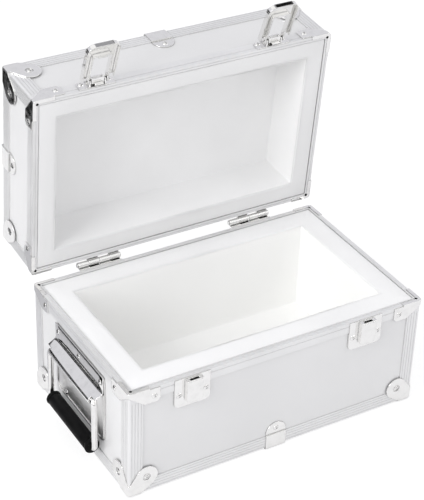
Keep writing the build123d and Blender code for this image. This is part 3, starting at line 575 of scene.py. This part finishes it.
@dataclass(frozen=True)
class PolishedNickel:
    """Bright nickel plate on pressed steel, with faint handling marks and shade painted into its
    nooks.
    """

    name: str = "polished_nickel"
    colour: Colour = (0.90, 0.895, 0.885)
    shadow: Colour = (0.035, 0.035, 0.037)
    smooth: float = 0.05
    rough: float = 0.15
    edge_radius: float = 0.0009
    ripple: float = 0.06
    smudge_scale: float = 130.0
    wave_scale: float = 55.0
    wave_depth: float = 0.0002
    worn_share: float = 0.92
    nook_reach: float = 0.0025
    nook_shade_share: float = 0.9

    def material(self) -> bpy.types.Material:
        """Builds the plate: smudges in its roughness, a slight pressing wave and shade painted into
        its nooks.

        Returns:
            The material.
        """
        graph = Graph(self.name)
        where = graph.coordinates()
        smudge = graph.noise(where, self.smudge_scale, 6.0, 0.6)
        wave = graph.noise(where, self.wave_scale, 1.0)
        worn = tuple(self.worn_share * c for c in self.colour)
        colour = graph.shades(graph.spread(smudge, 0.0, 1.0, 0.45, 0.75), self.colour, worn)
        # Painted shade: ambient occlusion darkens nooks and joints nearly to black.
        nook_shade_mask = graph.share(graph.nooks(self.nook_reach, 0.2, 0.7), self.nook_shade_share)
        colour = graph.over(nook_shade_mask, colour, self.shadow)
        roughness = graph.spread(smudge, self.smooth, self.rough, 0.4, 0.75)
        normal = graph.bump(wave, self.wave_depth, self.ripple, self.edge_radius)
        return graph.surface(colour, roughness, normal, Metallic=1.0)


@dataclass(frozen=True)
class PackingFoam:
    """White closed-cell packing foam."""

    name: str
    dark: Colour
    light: Colour
    smooth: float = 0.80
    rough: float = 0.95
    cell_scale: float = 1100.0
    cloud_scale: float = 14.0
    cell_depth: float = 0.00012
    cell_strength: float = 0.22

    def material(self) -> bpy.types.Material:
        """Builds the foam: fine cells, a soft cloudy tone and no shine.

        Returns:
            The material.
        """
        graph = Graph(self.name)
        where = graph.coordinates()
        cells = graph.node("ShaderNodeTexVoronoi", Scale=self.cell_scale)
        graph.link(where, cells.inputs["Vector"])
        cloud = graph.noise(where, self.cloud_scale, 4.0)
        colour = graph.shades(graph.spread(cloud, 0.0, 1.0), self.dark, self.light)
        roughness = graph.spread(cells.outputs["Distance"], self.smooth, self.rough, 0.0, 0.8)
        normal = graph.bump(cells.outputs["Distance"], self.cell_depth, self.cell_strength)
        return graph.surface(colour, roughness, normal, Metallic=0.0, IOR=1.35)


@dataclass(frozen=True)
class GripRubber:
    """Black moulded rubber of the grips."""

    name: str = "grip_rubber"
    dark: Colour = (0.002, 0.002, 0.0022)
    light: Colour = (0.006, 0.006, 0.0063)
    smooth: float = 0.42
    rough: float = 0.58
    pore_scale: float = 1500.0
    cloud_scale: float = 80.0
    pore_depth: float = 0.00008
    pore_strength: float = 0.4

    def material(self) -> bpy.types.Material:
        """Builds the rubber: nearly black, satin, with a fine moulded texture.

        Returns:
            The material.
        """
        graph = Graph(self.name)
        where = graph.coordinates()
        pores = graph.noise(where, self.pore_scale, 3.0)
        cloud = graph.noise(where, self.cloud_scale, 3.0)
        colour = graph.shades(graph.spread(cloud, 0.0, 1.0), self.dark, self.light)
        roughness = graph.spread(cloud, self.smooth, self.rough)
        normal = graph.bump(pores, self.pore_depth, self.pore_strength)
        return graph.surface(colour, roughness, normal, Metallic=0.0, IOR=1.3,
                             Specular_IOR_Level=0.22)


@dataclass
class Finishes:
    """Every finish of the case, made once and shared."""

    board: bpy.types.Material = field(init=False)
    profile_x: bpy.types.Material = field(init=False)
    profile_z: bpy.types.Material = field(init=False)
    nickel: bpy.types.Material = field(init=False)
    satin: bpy.types.Material = field(init=False)
    rivet: bpy.types.Material = field(init=False)
    foam_skin: bpy.types.Material = field(init=False)
    pocket_foam_painted_light: bpy.types.Material = field(init=False)
    lid_foam_painted_shade: bpy.types.Material = field(init=False)
    lid_pocket_foam_painted_light_and_shade: bpy.types.Material = field(init=False)
    rubber: bpy.types.Material = field(init=False)
    hollow_shade: bpy.types.Material = field(init=False)

    def __post_init__(self) -> None:
        """Builds the materials."""
        self.board = LaminateBoard().material()
        self.profile_x = AnodisedProfile("anodised_level", (0.02, 1.0, 1.0)).material()
        self.profile_z = AnodisedProfile("anodised_upright", (1.0, 1.0, 0.02)).material()
        self.nickel = PolishedNickel().material()
        self.satin = PolishedNickel("satin_nickel", smooth=0.30, rough=0.40,
                                    edge_radius=0.0006).material()
        self.rivet = PolishedNickel("rivet_nickel", (0.88, 0.875, 0.865), smooth=0.08, rough=0.20,
                                    edge_radius=0.0004, ripple=0.05).material()
        self.foam_skin = PackingFoam("foam_skin", (0.88, 0.88, 0.876),
                                     (0.92, 0.92, 0.914)).material()
        # Painted light: the base pocket's walls and floor are painted lighter than its skin.
        self.pocket_foam_painted_light = PackingFoam("foam_pocket_painted_light", (0.955, 0.955, 0.940),
                                    (0.980, 0.980, 0.965)).material()
        # Painted shade: the lid's foam is painted greyer than the base's; its pocket is painted
        # lighter than its skin, as painted light.
        self.lid_foam_painted_shade = PackingFoam("lid_foam_painted_shade", (0.80, 0.80, 0.795),
                                         (0.84, 0.84, 0.835)).material()
        self.lid_pocket_foam_painted_light_and_shade = PackingFoam("lid_foam_pocket_painted_light_and_shade", (0.86, 0.86, 0.855),
                                        (0.90, 0.90, 0.895)).material()
        self.rubber = GripRubber().material()
        # Painted shade: a nearly black rubber finish for the discs in the rim holes.
        self.hollow_shade = GripRubber("shaded_hollow").material()

    def for_node(self, name: str) -> bpy.types.Material:
        """The finish of a carried-over node.

        Args:
            name: the node's name.

        Returns:
            The material it wears.
        """
        if name.endswith("_panel"):
            return self.board
        if name.endswith("corner_profiles"):
            return self.profile_z
        if name.endswith("_profiles"):
            return self.profile_x
        if name.endswith("_foam"):
            return self.foam_skin
        if "grip" in name:
            return self.rubber
        if name.startswith("handle_plate"):
            return self.satin
        if "rivets" in name or "pin" in name:
            return self.rivet
        return self.nickel

    def dress_nodes(self) -> None:
        """Gives every carried-over node its finish."""
        for name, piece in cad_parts.items():
            piece.data.materials.clear()
            piece.data.materials.append(self.for_node(name))
        LOG.info("dressed %d carried-over nodes", len(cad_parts))


@dataclass
class FoamLining:
    """One foam block with its pocket, drawn on the closed case in millimetres."""

    half: Half
    half_length: float = 153.6
    half_width: float = 92.6
    bottom: float = 5.4
    top: float = 119.9
    pocket_half_length: float = 130.0
    pocket_half_width: float = 69.2
    pocket_depth: float = 95.7
    mouth_radius: float = 1.8
    fold_radius: float = 1.2
    outer_radius: float = 1.0
    first_inset: float = 10.0
    long_edge: float = 20.0
    widest_span: float = 30.0
    edge_margin: float = 0.5
    face_margin: float = 1.0
    mouth_band: float = 0.8
    ripple_size: float = 0.045
    ripple_depth: float = 0.0003
    smooth_angle: float = 50.0

    @property
    def opens_up(self) -> bool:
        """Whether the pocket's mouth faces up while the case is closed."""
        return self.half is Half.BASE

    @property
    def mouth(self) -> float:
        """The height of the face that the pocket opens in."""
        return self.top if self.opens_up else self.bottom

    @property
    def floor(self) -> float:
        """The height of the pocket's floor."""
        return self.top - self.pocket_depth if self.opens_up else self.bottom + self.pocket_depth

    def block(self) -> bpy.types.Object:
        """Cuts the block: the mouth face is inset to the pocket's outline and pushed in.

        Returns:
            The block, still in edit mode.
        """
        low = (-self.half_length, -self.half_width, self.bottom)
        high = (self.half_length, self.half_width, self.top)
        piece = Bench.block(f"{self.half.value}_foam_lining", low, high)
        Bench.edit(piece)
        Bench.pick(piece, "FACE", lambda c, n: abs(c.z - self.mouth) < NEAR)
        bpy.ops.mesh.inset(thickness=self.first_inset * MM)
        inset = (self.half_length - self.first_inset, self.half_width - self.first_inset)
        Bench.widen((self.pocket_half_length / inset[0], self.pocket_half_width / inset[1], 1.0),
                    (0.0, 0.0, self.mouth))
        Bench.draw_out(0.0, 0.0, self.floor - self.mouth)
        return piece

    def soften(self, piece: bpy.types.Object) -> None:
        """Rounds the mouth, the folds of the pocket and the outer edges.

        Args:
            piece: the block in edit mode.
        """
        def in_pocket(a: Vector) -> bool:
            """Whether a point lies within the pocket's outline."""
            return (abs(a.x) < self.pocket_half_length + self.edge_margin
                    and abs(a.y) < self.pocket_half_width + self.edge_margin)

        def at_mouth(a: Vector, b: Vector) -> bool:
            """Whether an edge lies round the pocket's mouth."""
            return (in_pocket(a) and in_pocket(b) and abs(a.z - self.mouth) < NEAR
                    and abs(b.z - self.mouth) < NEAR)

        def round_floor(a: Vector, b: Vector) -> bool:
            """Whether an edge lies round the pocket's floor."""
            return abs(a.z - self.floor) < NEAR and abs(b.z - self.floor) < NEAR

        def upright_fold(a: Vector, b: Vector) -> bool:
            """Whether an edge stands in a corner of the pocket."""
            return in_pocket(a) and in_pocket(b) and abs(a.z - b.z) > self.long_edge

        def outside(a: Vector, b: Vector) -> bool:
            """Whether an edge is one of the block's own long edges."""
            return (not in_pocket(a) and not in_pocket(b)
                    and max(abs(v) for v in a - b) > self.long_edge)

        for test, radius, steps in (
                (at_mouth, self.mouth_radius, 4), (round_floor, self.fold_radius, 3),
                (upright_fold, self.fold_radius, 3), (outside, self.outer_radius, 3)):
            if Bench.pick(piece, "EDGE", test):
                bpy.ops.mesh.bevel(offset=radius * MM, segments=steps, affect="EDGES")

    def build(self, finishes: Finishes) -> None:
        """Builds and dresses the lining.

        Args:
            finishes: the finishes to wear.
        """
        piece = self.block()
        self.soften(piece)
        Bench.tidy_faces()
        bpy.ops.mesh.quads_convert_to_tris(quad_method="BEAUTY", ngon_method="BEAUTY")
        for _ in range(2):
            Bench.pick(piece, "EDGE", lambda a, b: (a - b).length > self.widest_span)
            bpy.ops.mesh.subdivide(number_cuts=2)
        Bench.clear()
        self.ripple(piece)
        # Painted shade: the lid's skin is painted greyer than the base's.
        skin = finishes.foam_skin if self.opens_up else finishes.lid_foam_painted_shade
        Bench.dress(piece, skin, self.half.value, "foam", f"{self.half.value}_foam")
        self.dress_pocket(piece, finishes)
        Bench.place(piece, self.half.placement())
        Bench.smooth(piece, self.smooth_angle)

    def ripple(self, piece: bpy.types.Object) -> None:
        """Gives the cut faces the slight unevenness of sawn foam.

        Args:
            piece: the block.
        """
        clouds = bpy.data.textures.new(f"{piece.name}_ripple", "CLOUDS")
        clouds.noise_scale = self.ripple_size
        Bench.modify(piece, "DISPLACE", texture=clouds, strength=self.ripple_depth, mid_level=1.0)

    def dress_pocket(self, piece: bpy.types.Object, finishes: Finishes) -> None:
        """Puts the pocket's finish, painted lighter than the skin, on the walls and floor of the
        pocket.

        Args:
            piece: the block.
            finishes: the finishes to wear.
        """
        # Painted light: the pocket is painted lighter than the skin; in the lid both are also
        # painted greyer, as painted shade.
        piece.data.materials.append(finishes.pocket_foam_painted_light if self.opens_up else finishes.lid_pocket_foam_painted_light_and_shade)
        Bench.edit(piece)
        margin = self.face_margin
        Bench.pick(piece, "FACE", lambda c, n: abs(c.x) < self.pocket_half_length + margin
                   and abs(c.y) < self.pocket_half_width + margin
                   and self.mouth_band < abs(c.z - self.mouth) < self.pocket_depth + margin)
        piece.active_material_index = 1
        bpy.ops.object.material_slot_assign()
        Bench.clear()


@dataclass
class MouldedGrip:
    """The rubber grip of a carrying handle: a waisted sleeve with a stepped collar at each end."""

    side: Side
    sides: int = 40
    collar: float = 5.0
    step: float = 1.2
    groove: float = 0.7
    body_step: float = 0.6
    collar_ends: float = 1.6
    collar_round: float = 0.9
    mouth_radius: float = 4.6
    least_length: float = 0.03
    edge_rounding: float = 0.35
    rounding_angle: float = 35.0
    face_tolerance: float = 0.02

    def build(self, finishes: Finishes) -> None:
        """Builds and dresses the grip inside the space of its carried-over node.

        Args:
            finishes: the finishes to wear.
        """
        node = f"handle_grip_{self.side.label}"
        low, high = (Vector(c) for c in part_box(node))
        middle = (low + high) / 2
        radius = (high.x - low.x) / 2
        half = (high.y - low.y) / 2 / MM
        reach = radius / MM
        Bench.clear()
        bpy.ops.mesh.primitive_cylinder_add(
            vertices=self.sides, radius=radius * (1 - self.body_step / reach),
            depth=2 * (half - self.collar) * MM, location=middle,
            rotation=(math.pi / 2, 0.0, 0.0))
        piece = Bench.named(f"grip_sleeve_{self.side.label}")
        centre = tuple(v / MM for v in middle)
        for way in (-1, 1):
            self.end(piece, centre, way, half, reach)
        Bench.edit(piece)
        Bench.tidy_faces(FINE_MERGE)
        Bench.clear()
        Bench.modify(piece, "BEVEL", width=self.edge_rounding * MM, segments=2,
                     limit_method="ANGLE", angle_limit=math.radians(self.rounding_angle))
        Bench.smooth(piece)
        Bench.dress(piece, finishes.rubber, f"handle_{self.side.label}", "grip", node)

    def end(self, piece: bpy.types.Object, centre: Point, way: int, half: float,
            reach: float) -> None:
        """Steps one end out to its collar and back in to the mouth round the rod.

        Args:
            piece: the sleeve.
            centre: the middle of the grip, in millimetres.
            way: -1 for the front end, 1 for the back end.
            half: half the grip's length.
            reach: the grip's largest radius.
        """
        body = reach - self.body_step
        steps = ((self.groove, body - self.step), (0.0, body),
                 (self.collar - self.collar_ends, reach),
                 (self.collar_round, reach - self.collar_round), (0.0, self.mouth_radius))
        at = half - self.collar
        radius = body
        Bench.edit(piece)
        for length, width in steps:
            Bench.pick(piece, "FACE",
                       lambda c, n: abs(c.y - centre[1] - way * at) < self.face_tolerance
                       and way * n.y > FACING)
            out = max(length, self.least_length)
            Bench.draw_out(0.0, way * out, 0.0)
            at += out
            Bench.widen((width / radius, 1.0, width / radius),
                        (centre[0], centre[1] + way * at, centre[2]))
            radius = width
        Bench.clear()


@dataclass
class PressedHood:
    """The plated hood over a handle: one sheet bent at its flange and rolled round the rod.

    Heights are from the ground and distances out are from the end of the case, in millimetres.
    """

    end_face: float = 159.0
    flange_out: float = 0.6
    sheet: float = 1.2
    flange_top: float = 106.3
    bend_height: float = 88.1
    bend_radius: float = 4.6
    bend_steps: int = 6
    roll_out: float = 8.5
    roll_height: float = 79.0
    roll_radius: float = 3.66
    roll_turn: float = 318.0
    roll_steps: int = 26
    half_width: float = 49.4
    roll_half_width: float = 42.1
    notch_height: float = 83.0
    edge_rounding: float = 0.22
    rounding_angle: float = 50.0
    smooth_angle: float = 32.0
    row_tolerance: float = 0.005

    def section(self) -> list[Pair]:
        """The line down the middle of the sheet, from the flange's top to the end of the roll.

        Returns:
            Its points, as distance out and height.
        """
        out, low = self.flange_out, self.bend_height
        away = (self.roll_out - out, self.roll_height - low)
        gap = math.hypot(*away)
        aim = math.atan2(away[1], away[0]) + math.asin(self.roll_radius / gap)
        run = math.sqrt(gap ** 2 - self.roll_radius ** 2)
        turn = aim + math.pi / 2
        start = self.bend_radius * math.tan(turn / 2)
        centre = (out + self.bend_radius, low + start)
        points = [(out, self.flange_top)]
        for k in range(self.bend_steps + 1):
            at = math.pi + turn * k / self.bend_steps
            points.append((centre[0] + self.bend_radius * math.cos(at),
                           centre[1] + self.bend_radius * math.sin(at)))
        notch = (low - self.notch_height) / -math.sin(aim)
        points.append((out + notch * math.cos(aim), self.notch_height))
        points.append((out + run * math.cos(aim), low + run * math.sin(aim)))
        first = aim + math.pi / 2
        for k in range(1, self.roll_steps + 1):
            at = first - math.radians(self.roll_turn) * k / self.roll_steps
            points.append((self.roll_out + self.roll_radius * math.cos(at),
                           self.roll_height + self.roll_radius * math.sin(at)))
        return points

    def build(self, finishes: Finishes) -> None:
        """Builds and dresses both hoods.

        Args:
            finishes: the finishes to wear.
        """
        left = self.bend("hood_sheet_left")
        right = Bench.mirrored(left, "hood_sheet_right")
        for side, piece in ((Side.LEFT, left), (Side.RIGHT, right)):
            Bench.smooth(piece, self.smooth_angle)
            Bench.dress(piece, finishes.nickel, "base", "fittings", f"handle_hood_{side.label}")

    def bend(self, name: str) -> bpy.types.Object:
        """Bends the left hood from a plane, by extruding its lower edge along the section.

        Args:
            name: the piece's name.

        Returns:
            The hood.
        """
        line = self.section()
        first, second = line[0], line[1]
        x = -self.end_face - first[0]
        Bench.clear()
        bpy.ops.mesh.primitive_plane_add(
            size=1.0, location=(x * MM, CASE_CENTRE_Y * MM, (first[1] + second[1]) / 2 * MM),
            rotation=(0.0, math.pi / 2, 0.0))
        bpy.context.object.scale = ((first[1] - second[1]) * MM, 2 * self.roll_half_width * MM, 1.0)
        piece = Bench.named(name)
        Bench.edit(piece)
        for way in (-1, 1):
            edge = CASE_CENTRE_Y + way * self.roll_half_width
            Bench.pick(piece, "EDGE",
                       lambda a, b: abs(a.y - edge) < CLOSE and abs(b.y - edge) < CLOSE)
            Bench.draw_out(0.0, way * (self.half_width - self.roll_half_width), 0.0)
        for here, there in zip(line[1:], line[2:]):
            self.pick_row(piece, here, here[1] > self.notch_height + CLOSE)
            Bench.draw_out(here[0] - there[0], 0.0, there[1] - here[1])
        Bench.tidy_faces(FINE_MERGE)
        Bench.clear()
        Bench.modify(piece, "SOLIDIFY", thickness=self.sheet * MM, offset=0.0,
                     use_even_offset=True)
        Bench.modify(piece, "BEVEL", width=self.edge_rounding * MM, segments=2,
                     limit_method="ANGLE", angle_limit=math.radians(self.rounding_angle))
        return piece

    def pick_row(self, piece: bpy.types.Object, here: Pair, full: bool) -> None:
        """Selects the lowest row of edges, or only its middle.

        Args:
            piece: the sheet in edit mode.
            here: the row's place in the section.
            full: whether the ends beside the roll are wanted too.
        """
        reach = (self.half_width if full else self.roll_half_width) + CLOSE

        def at_row(p: Vector) -> bool:
            """Whether a point lies on the row."""
            return (abs(p.x + self.end_face + here[0]) < self.row_tolerance
                    and abs(p.z - here[1]) < self.row_tolerance
                    and abs(p.y - CASE_CENTRE_Y) < reach)

        Bench.pick(piece, "EDGE", lambda a, b: at_row(a) and at_row(b))


@dataclass
class RimHollow:
    """Painted shade of the hollow under the hole of each rim strip: a dished, nearly black disc in
    the hole.
    """

    hole_x: float = CASE_HALF_LENGTH - STRIP_HOLE_INSET
    hole_y: float = CASE_HALF_DEPTH - STRIP_HOLE_INSET
    sides: int = 24
    radius: float = 1.38
    depth: float = 0.35
    lip: float = 0.25
    floor: float = 0.1
    base_rim: float = 120.0
    lid_rim: float = 121.4

    def build(self, finishes: Finishes) -> None:
        """Builds the painted shade discs of both halves.

        Args:
            finishes: the finishes to wear.
        """
        for half in Half:
            way = 1 if half is Half.BASE else -1
            rim = self.base_rim if half is Half.BASE else self.lid_rim
            for end, x in (("left", -self.hole_x), ("right", self.hole_x)):
                for edge, y in (("front", -self.hole_y), ("back", self.hole_y)):
                    piece = self.dish(f"{half.value}_hollow_{edge}_{end}", (x, y, rim), way)
                    Bench.place(piece, half.placement())
                    Bench.dress(piece, finishes.hollow_shade, half.value, "profile")

    def dish(self, name: str, at: Point, way: int) -> bpy.types.Object:
        """Dishes one disc.

        Args:
            name: its name.
            at: the middle of the hole on the rim, in millimetres.
            way: 1 where the strip lies above the rim, -1 where below.

        Returns:
            The disc.
        """
        Bench.clear()
        middle = (at[0] * MM, at[1] * MM, (at[2] + way * self.depth / 2) * MM)
        bpy.ops.mesh.primitive_cylinder_add(vertices=self.sides, radius=self.radius * MM,
                                            depth=self.depth * MM, location=middle)
        piece = Bench.named(name)
        Bench.edit(piece)
        Bench.pick(piece, "FACE", lambda c, n: way * n.z > FACING)
        bpy.ops.mesh.inset(thickness=self.lip * MM)
        Bench.draw_out(0.0, 0.0, -way * (self.depth - self.floor))
        Bench.tidy_faces(FINE_MERGE)
        Bench.clear()
        return piece


def linings(finishes: Finishes) -> None:
    """Builds the two foam linings."""
    FoamLining(Half.BASE).build(finishes)
    FoamLining(Half.LID, bottom=121.5, top=185.0, pocket_half_length=134.5,
               pocket_half_width=74.8, pocket_depth=48.4).build(finishes)


def grips(finishes: Finishes) -> None:
    """Builds the two rubber grips."""
    for side in Side:
        MouldedGrip(side).build(finishes)


@dataclass(frozen=True)
class Lamp:
    """One square soft lamp: its place and aim in metres, its side in metres and its watts."""

    name: str
    place: Point
    power: float
    aim: Point = (0.0, 0.0, 0.15)
    size: float = 1.4


@dataclass(frozen=True)
class Card:
    """A level card that only polished metal shows: two corners and a height, in metres."""

    name: str
    low: Pair
    high: Pair
    tone: float
    height: float = 0.002


@dataclass(frozen=True)
class Band:
    """Part of a ring round the studio that only polished metal shows.

    Its edges are in degrees above the floor, and it starts at a turn from +X towards +Y.
    """

    name: str
    low: float
    high: float
    start: float
    sweep: float
    tone: float


@dataclass
class Studio:
    """A white floor, a bright surround, soft lamps and the camera of the photograph.

    A glow is what the floor gives off by itself, then the share of the light on it that shows.
    """

    lamps: tuple[Lamp, ...] = (
        Lamp("key", (-2.2, -0.6, 1.4), 29.0),
        Lamp("fill", (2.0, -1.2, 1.6), 4.0))
    cards: tuple[Card, ...] = (
        Card("card_lid", (-1.5, 0.41), (-0.375, 1.7), 0.01),
        Card("card_right", (0.26, -0.05), (0.9, 0.02), 0.02),
        Card("card_over_right", (0.41, -0.05), (0.80, 0.42), 0.01, 1.2),
        Card("card_over_left", (0.15, -0.05), (0.405, 0.42), 0.36, 1.2),
        Card("card_end", (-0.280, 0.045), (-0.176, 0.30), 0.56),
        Card("card_roll", (-1.5, 0.02), (-0.281, 0.36), 0.01))
    bands: tuple[Band, ...] = (
        Band("horizon_left", 0.4, 18.0, 90.0, 90.0, 0.02),
        Band("grey_back", 18.0, 50.0, 0.0, 180.0, 0.74),
        Band("horizon_front", 0.4, 7.0, 180.0, 180.0, 0.05))
    band_reach: float = 3.0
    band_steps: int = 24
    floor_size: float = 30.0
    floor_colour: Colour = (0.88, 0.88, 0.88)
    camera_glow: Pair = (0.74, 0.34)
    metal_glow: Pair = (0.15, 0.78)
    surround_level: float = 0.85
    surround_tint: Colour = (0.975, 0.973, 1.0)
    camera_place: Point = (-0.6853, -1.1247, 1.0031)
    focal_pixels: float = 1618.7
    centre_pixels: Pair = (209.85, 250.57)
    frame_pixels: Pair = (424.0, 500.0)
    sensor_width: float = 36.0
    clip: Pair = (0.05, 100.0)
    camera_right: Point = (0.864256, -0.50210175, 0.03090966)
    camera_down: Point = (-0.25118262, -0.48395892, -0.8382667)
    camera_ahead: Point = (0.43585418, 0.71671305, -0.54438363)

    def build(self) -> None:
        """Builds the floor, the surround, the lamps, the cards, the bands and the camera."""
        self.floor()
        self.surround()
        for lamp in self.lamps:
            self.hang_lamp(lamp)
        for card in self.cards:
            self.lay_card(card)
        for band in self.bands:
            self.hang_band(band)
        self.camera()
        bpy.context.scene.view_settings.view_transform = "Standard"

    @staticmethod
    def glowing(graph: Graph, glow: float, tone: float) -> bpy.types.NodeSocket:
        """A floor that glows a little and shows shadows with the rest.

        Args:
            graph: the floor's material.
            glow: how much it gives off by itself.
            tone: how much of the light on it shows.

        Returns:
            The shader socket.
        """
        light = graph.node("ShaderNodeEmission", Color=(1.0, 1.0, 1.0, 1.0), Strength=glow)
        matt = graph.node("ShaderNodeBsdfDiffuse", Color=(tone, tone, tone, 1.0))
        both = graph.node("ShaderNodeAddShader")
        graph.link(matt.outputs[0], both.inputs[0])
        graph.link(light.outputs[0], both.inputs[1])
        return both.outputs[0]

    def floor(self) -> None:
        """A white floor, near white to the camera and in metal, with a soft shadow."""
        Bench.clear()
        bpy.ops.mesh.primitive_plane_add(size=self.floor_size)
        floor = bpy.context.object
        floor.name = "studio_floor"
        graph = Graph("studio_floor")
        lit = graph.node("ShaderNodeBsdfDiffuse", Color=(*self.floor_colour, 1.0))
        path = graph.node("ShaderNodeLightPath")
        seen = graph.node("ShaderNodeMath", operation="MAXIMUM")
        graph.link(path.outputs["Is Camera Ray"], seen.inputs[0])
        graph.link(path.outputs["Is Transmission Ray"], seen.inputs[1])
        shown = graph.node("ShaderNodeMixShader")
        graph.link(seen.outputs[0], shown.inputs[0])
        graph.link(lit.outputs[0], shown.inputs[1])
        graph.link(self.glowing(graph, *self.camera_glow), shown.inputs[2])
        mirrored = graph.node("ShaderNodeMixShader")
        graph.link(path.outputs["Is Glossy Ray"], mirrored.inputs[0])
        graph.link(shown.outputs[0], mirrored.inputs[1])
        graph.link(self.glowing(graph, *self.metal_glow), mirrored.inputs[2])
        graph.link(mirrored.outputs[0], graph.output.inputs["Surface"])
        floor.data.materials.append(graph.material)

    def surround(self) -> None:
        """The world: soft light on the case, plain white where the camera or metal sees it."""
        world = bpy.data.worlds.new("surround")
        bpy.context.scene.world = world
        world.use_nodes = True
        tree = world.node_tree
        tree.nodes.clear()
        output = tree.nodes.new("ShaderNodeOutputWorld")
        soft = tree.nodes.new("ShaderNodeBackground")
        soft.inputs["Color"].default_value = (*self.surround_tint, 1.0)
        soft.inputs["Strength"].default_value = self.surround_level
        white = tree.nodes.new("ShaderNodeBackground")
        white.inputs["Color"].default_value = (1.0, 1.0, 1.0, 1.0)
        white.inputs["Strength"].default_value = 1.0
        path = tree.nodes.new("ShaderNodeLightPath")
        seen = tree.nodes.new("ShaderNodeMath")
        seen.operation = "MAXIMUM"
        tree.links.new(path.outputs["Is Camera Ray"], seen.inputs[0])
        tree.links.new(path.outputs["Is Transmission Ray"], seen.inputs[1])
        either = tree.nodes.new("ShaderNodeMath")
        either.operation = "MAXIMUM"
        tree.links.new(seen.outputs[0], either.inputs[0])
        tree.links.new(path.outputs["Is Glossy Ray"], either.inputs[1])
        mix = tree.nodes.new("ShaderNodeMixShader")
        tree.links.new(either.outputs[0], mix.inputs[0])
        tree.links.new(soft.outputs[0], mix.inputs[1])
        tree.links.new(white.outputs[0], mix.inputs[2])
        tree.links.new(mix.outputs[0], output.inputs["Surface"])

    def hang_lamp(self, lamp: Lamp) -> None:
        """Hangs one lamp, turned to its aim.

        Args:
            lamp: the lamp.
        """
        data = bpy.data.lights.new(lamp.name, "AREA")
        data.size = lamp.size
        data.energy = lamp.power
        made = bpy.data.objects.new(lamp.name, data)
        bpy.context.scene.collection.objects.link(made)
        made.location = lamp.place
        toward = Vector(lamp.aim) - Vector(lamp.place)
        made.rotation_euler = toward.to_track_quat("-Z", "Y").to_euler()

    def lay_card(self, card: Card) -> None:
        """Lays one card.

        Args:
            card: the card.
        """
        (left, front), (right, back) = card.low, card.high
        corners = ((left, front), (right, front), (right, back), (left, back))
        mesh = bpy.data.meshes.new(card.name)
        mesh.from_pydata([Vector((x, y, card.height)) for x, y in corners], [], [(0, 1, 2, 3)])
        self.show_to_metal(card.name, mesh, card.tone)

    def hang_band(self, band: Band) -> None:
        """Hangs one band round the studio.

        Args:
            band: the band.
        """
        count, reach = self.band_steps, self.band_reach
        turns = [math.radians(band.start + band.sweep * k / count) for k in range(count + 1)]
        points = [Vector((reach * math.cos(turn), reach * math.sin(turn),
                          reach * math.tan(math.radians(angle))))
                  for angle in (band.low, band.high) for turn in turns]
        faces = [(k, k + 1, count + k + 2, count + k + 1) for k in range(count)]
        mesh = bpy.data.meshes.new(band.name)
        mesh.from_pydata(points, [], faces)
        self.show_to_metal(band.name, mesh, band.tone)

    @staticmethod
    def show_to_metal(name: str, mesh: bpy.types.Mesh, tone: float) -> None:
        """Puts a mesh into the studio so that only reflections show it.

        Args:
            name: the name of the card or band.
            mesh: its mesh.
            tone: how light it is.
        """
        card = bpy.data.objects.new(name, mesh)
        bpy.context.scene.collection.objects.link(card)
        graph = Graph(name)
        flat = graph.node("ShaderNodeEmission", Color=(tone, tone, CARD_BLUE * tone, 1.0),
                          Strength=1.0)
        graph.link(flat.outputs[0], graph.output.inputs["Surface"])
        mesh.materials.append(graph.material)
        card.visible_camera = False
        card.visible_diffuse = False
        card.visible_transmission = False
        card.visible_shadow = False

    def camera(self) -> None:
        """The camera at the photograph's place, turn and focal length."""
        width, height = self.frame_pixels
        data = bpy.data.cameras.new("camera")
        data.sensor_width = self.sensor_width
        data.sensor_fit = "AUTO"
        data.lens = self.focal_pixels * data.sensor_width / height
        data.shift_x = (width / 2 - self.centre_pixels[0]) / height
        data.shift_y = (self.centre_pixels[1] - height / 2) / height
        data.clip_start, data.clip_end = self.clip
        camera = bpy.data.objects.new("camera", data)
        bpy.context.scene.collection.objects.link(camera)
        up, back = -Vector(self.camera_down), -Vector(self.camera_ahead)
        turn = Matrix((Vector(self.camera_right), up, back)).transposed()
        camera.matrix_world = Matrix.Translation(self.camera_place) @ turn.to_4x4()
        bpy.context.scene.camera = camera


def main() -> None:
    """Builds the scene in order."""
    logging.basicConfig(level=logging.INFO, format="%(name)s: %(message)s")
    finishes = Finishes()
    finishes.dress_nodes()
    linings(finishes)
    grips(finishes)
    PressedHood().build(finishes)
    RimHollow().build(finishes)
    Studio().build()


if __name__ == "__main__":
    main()
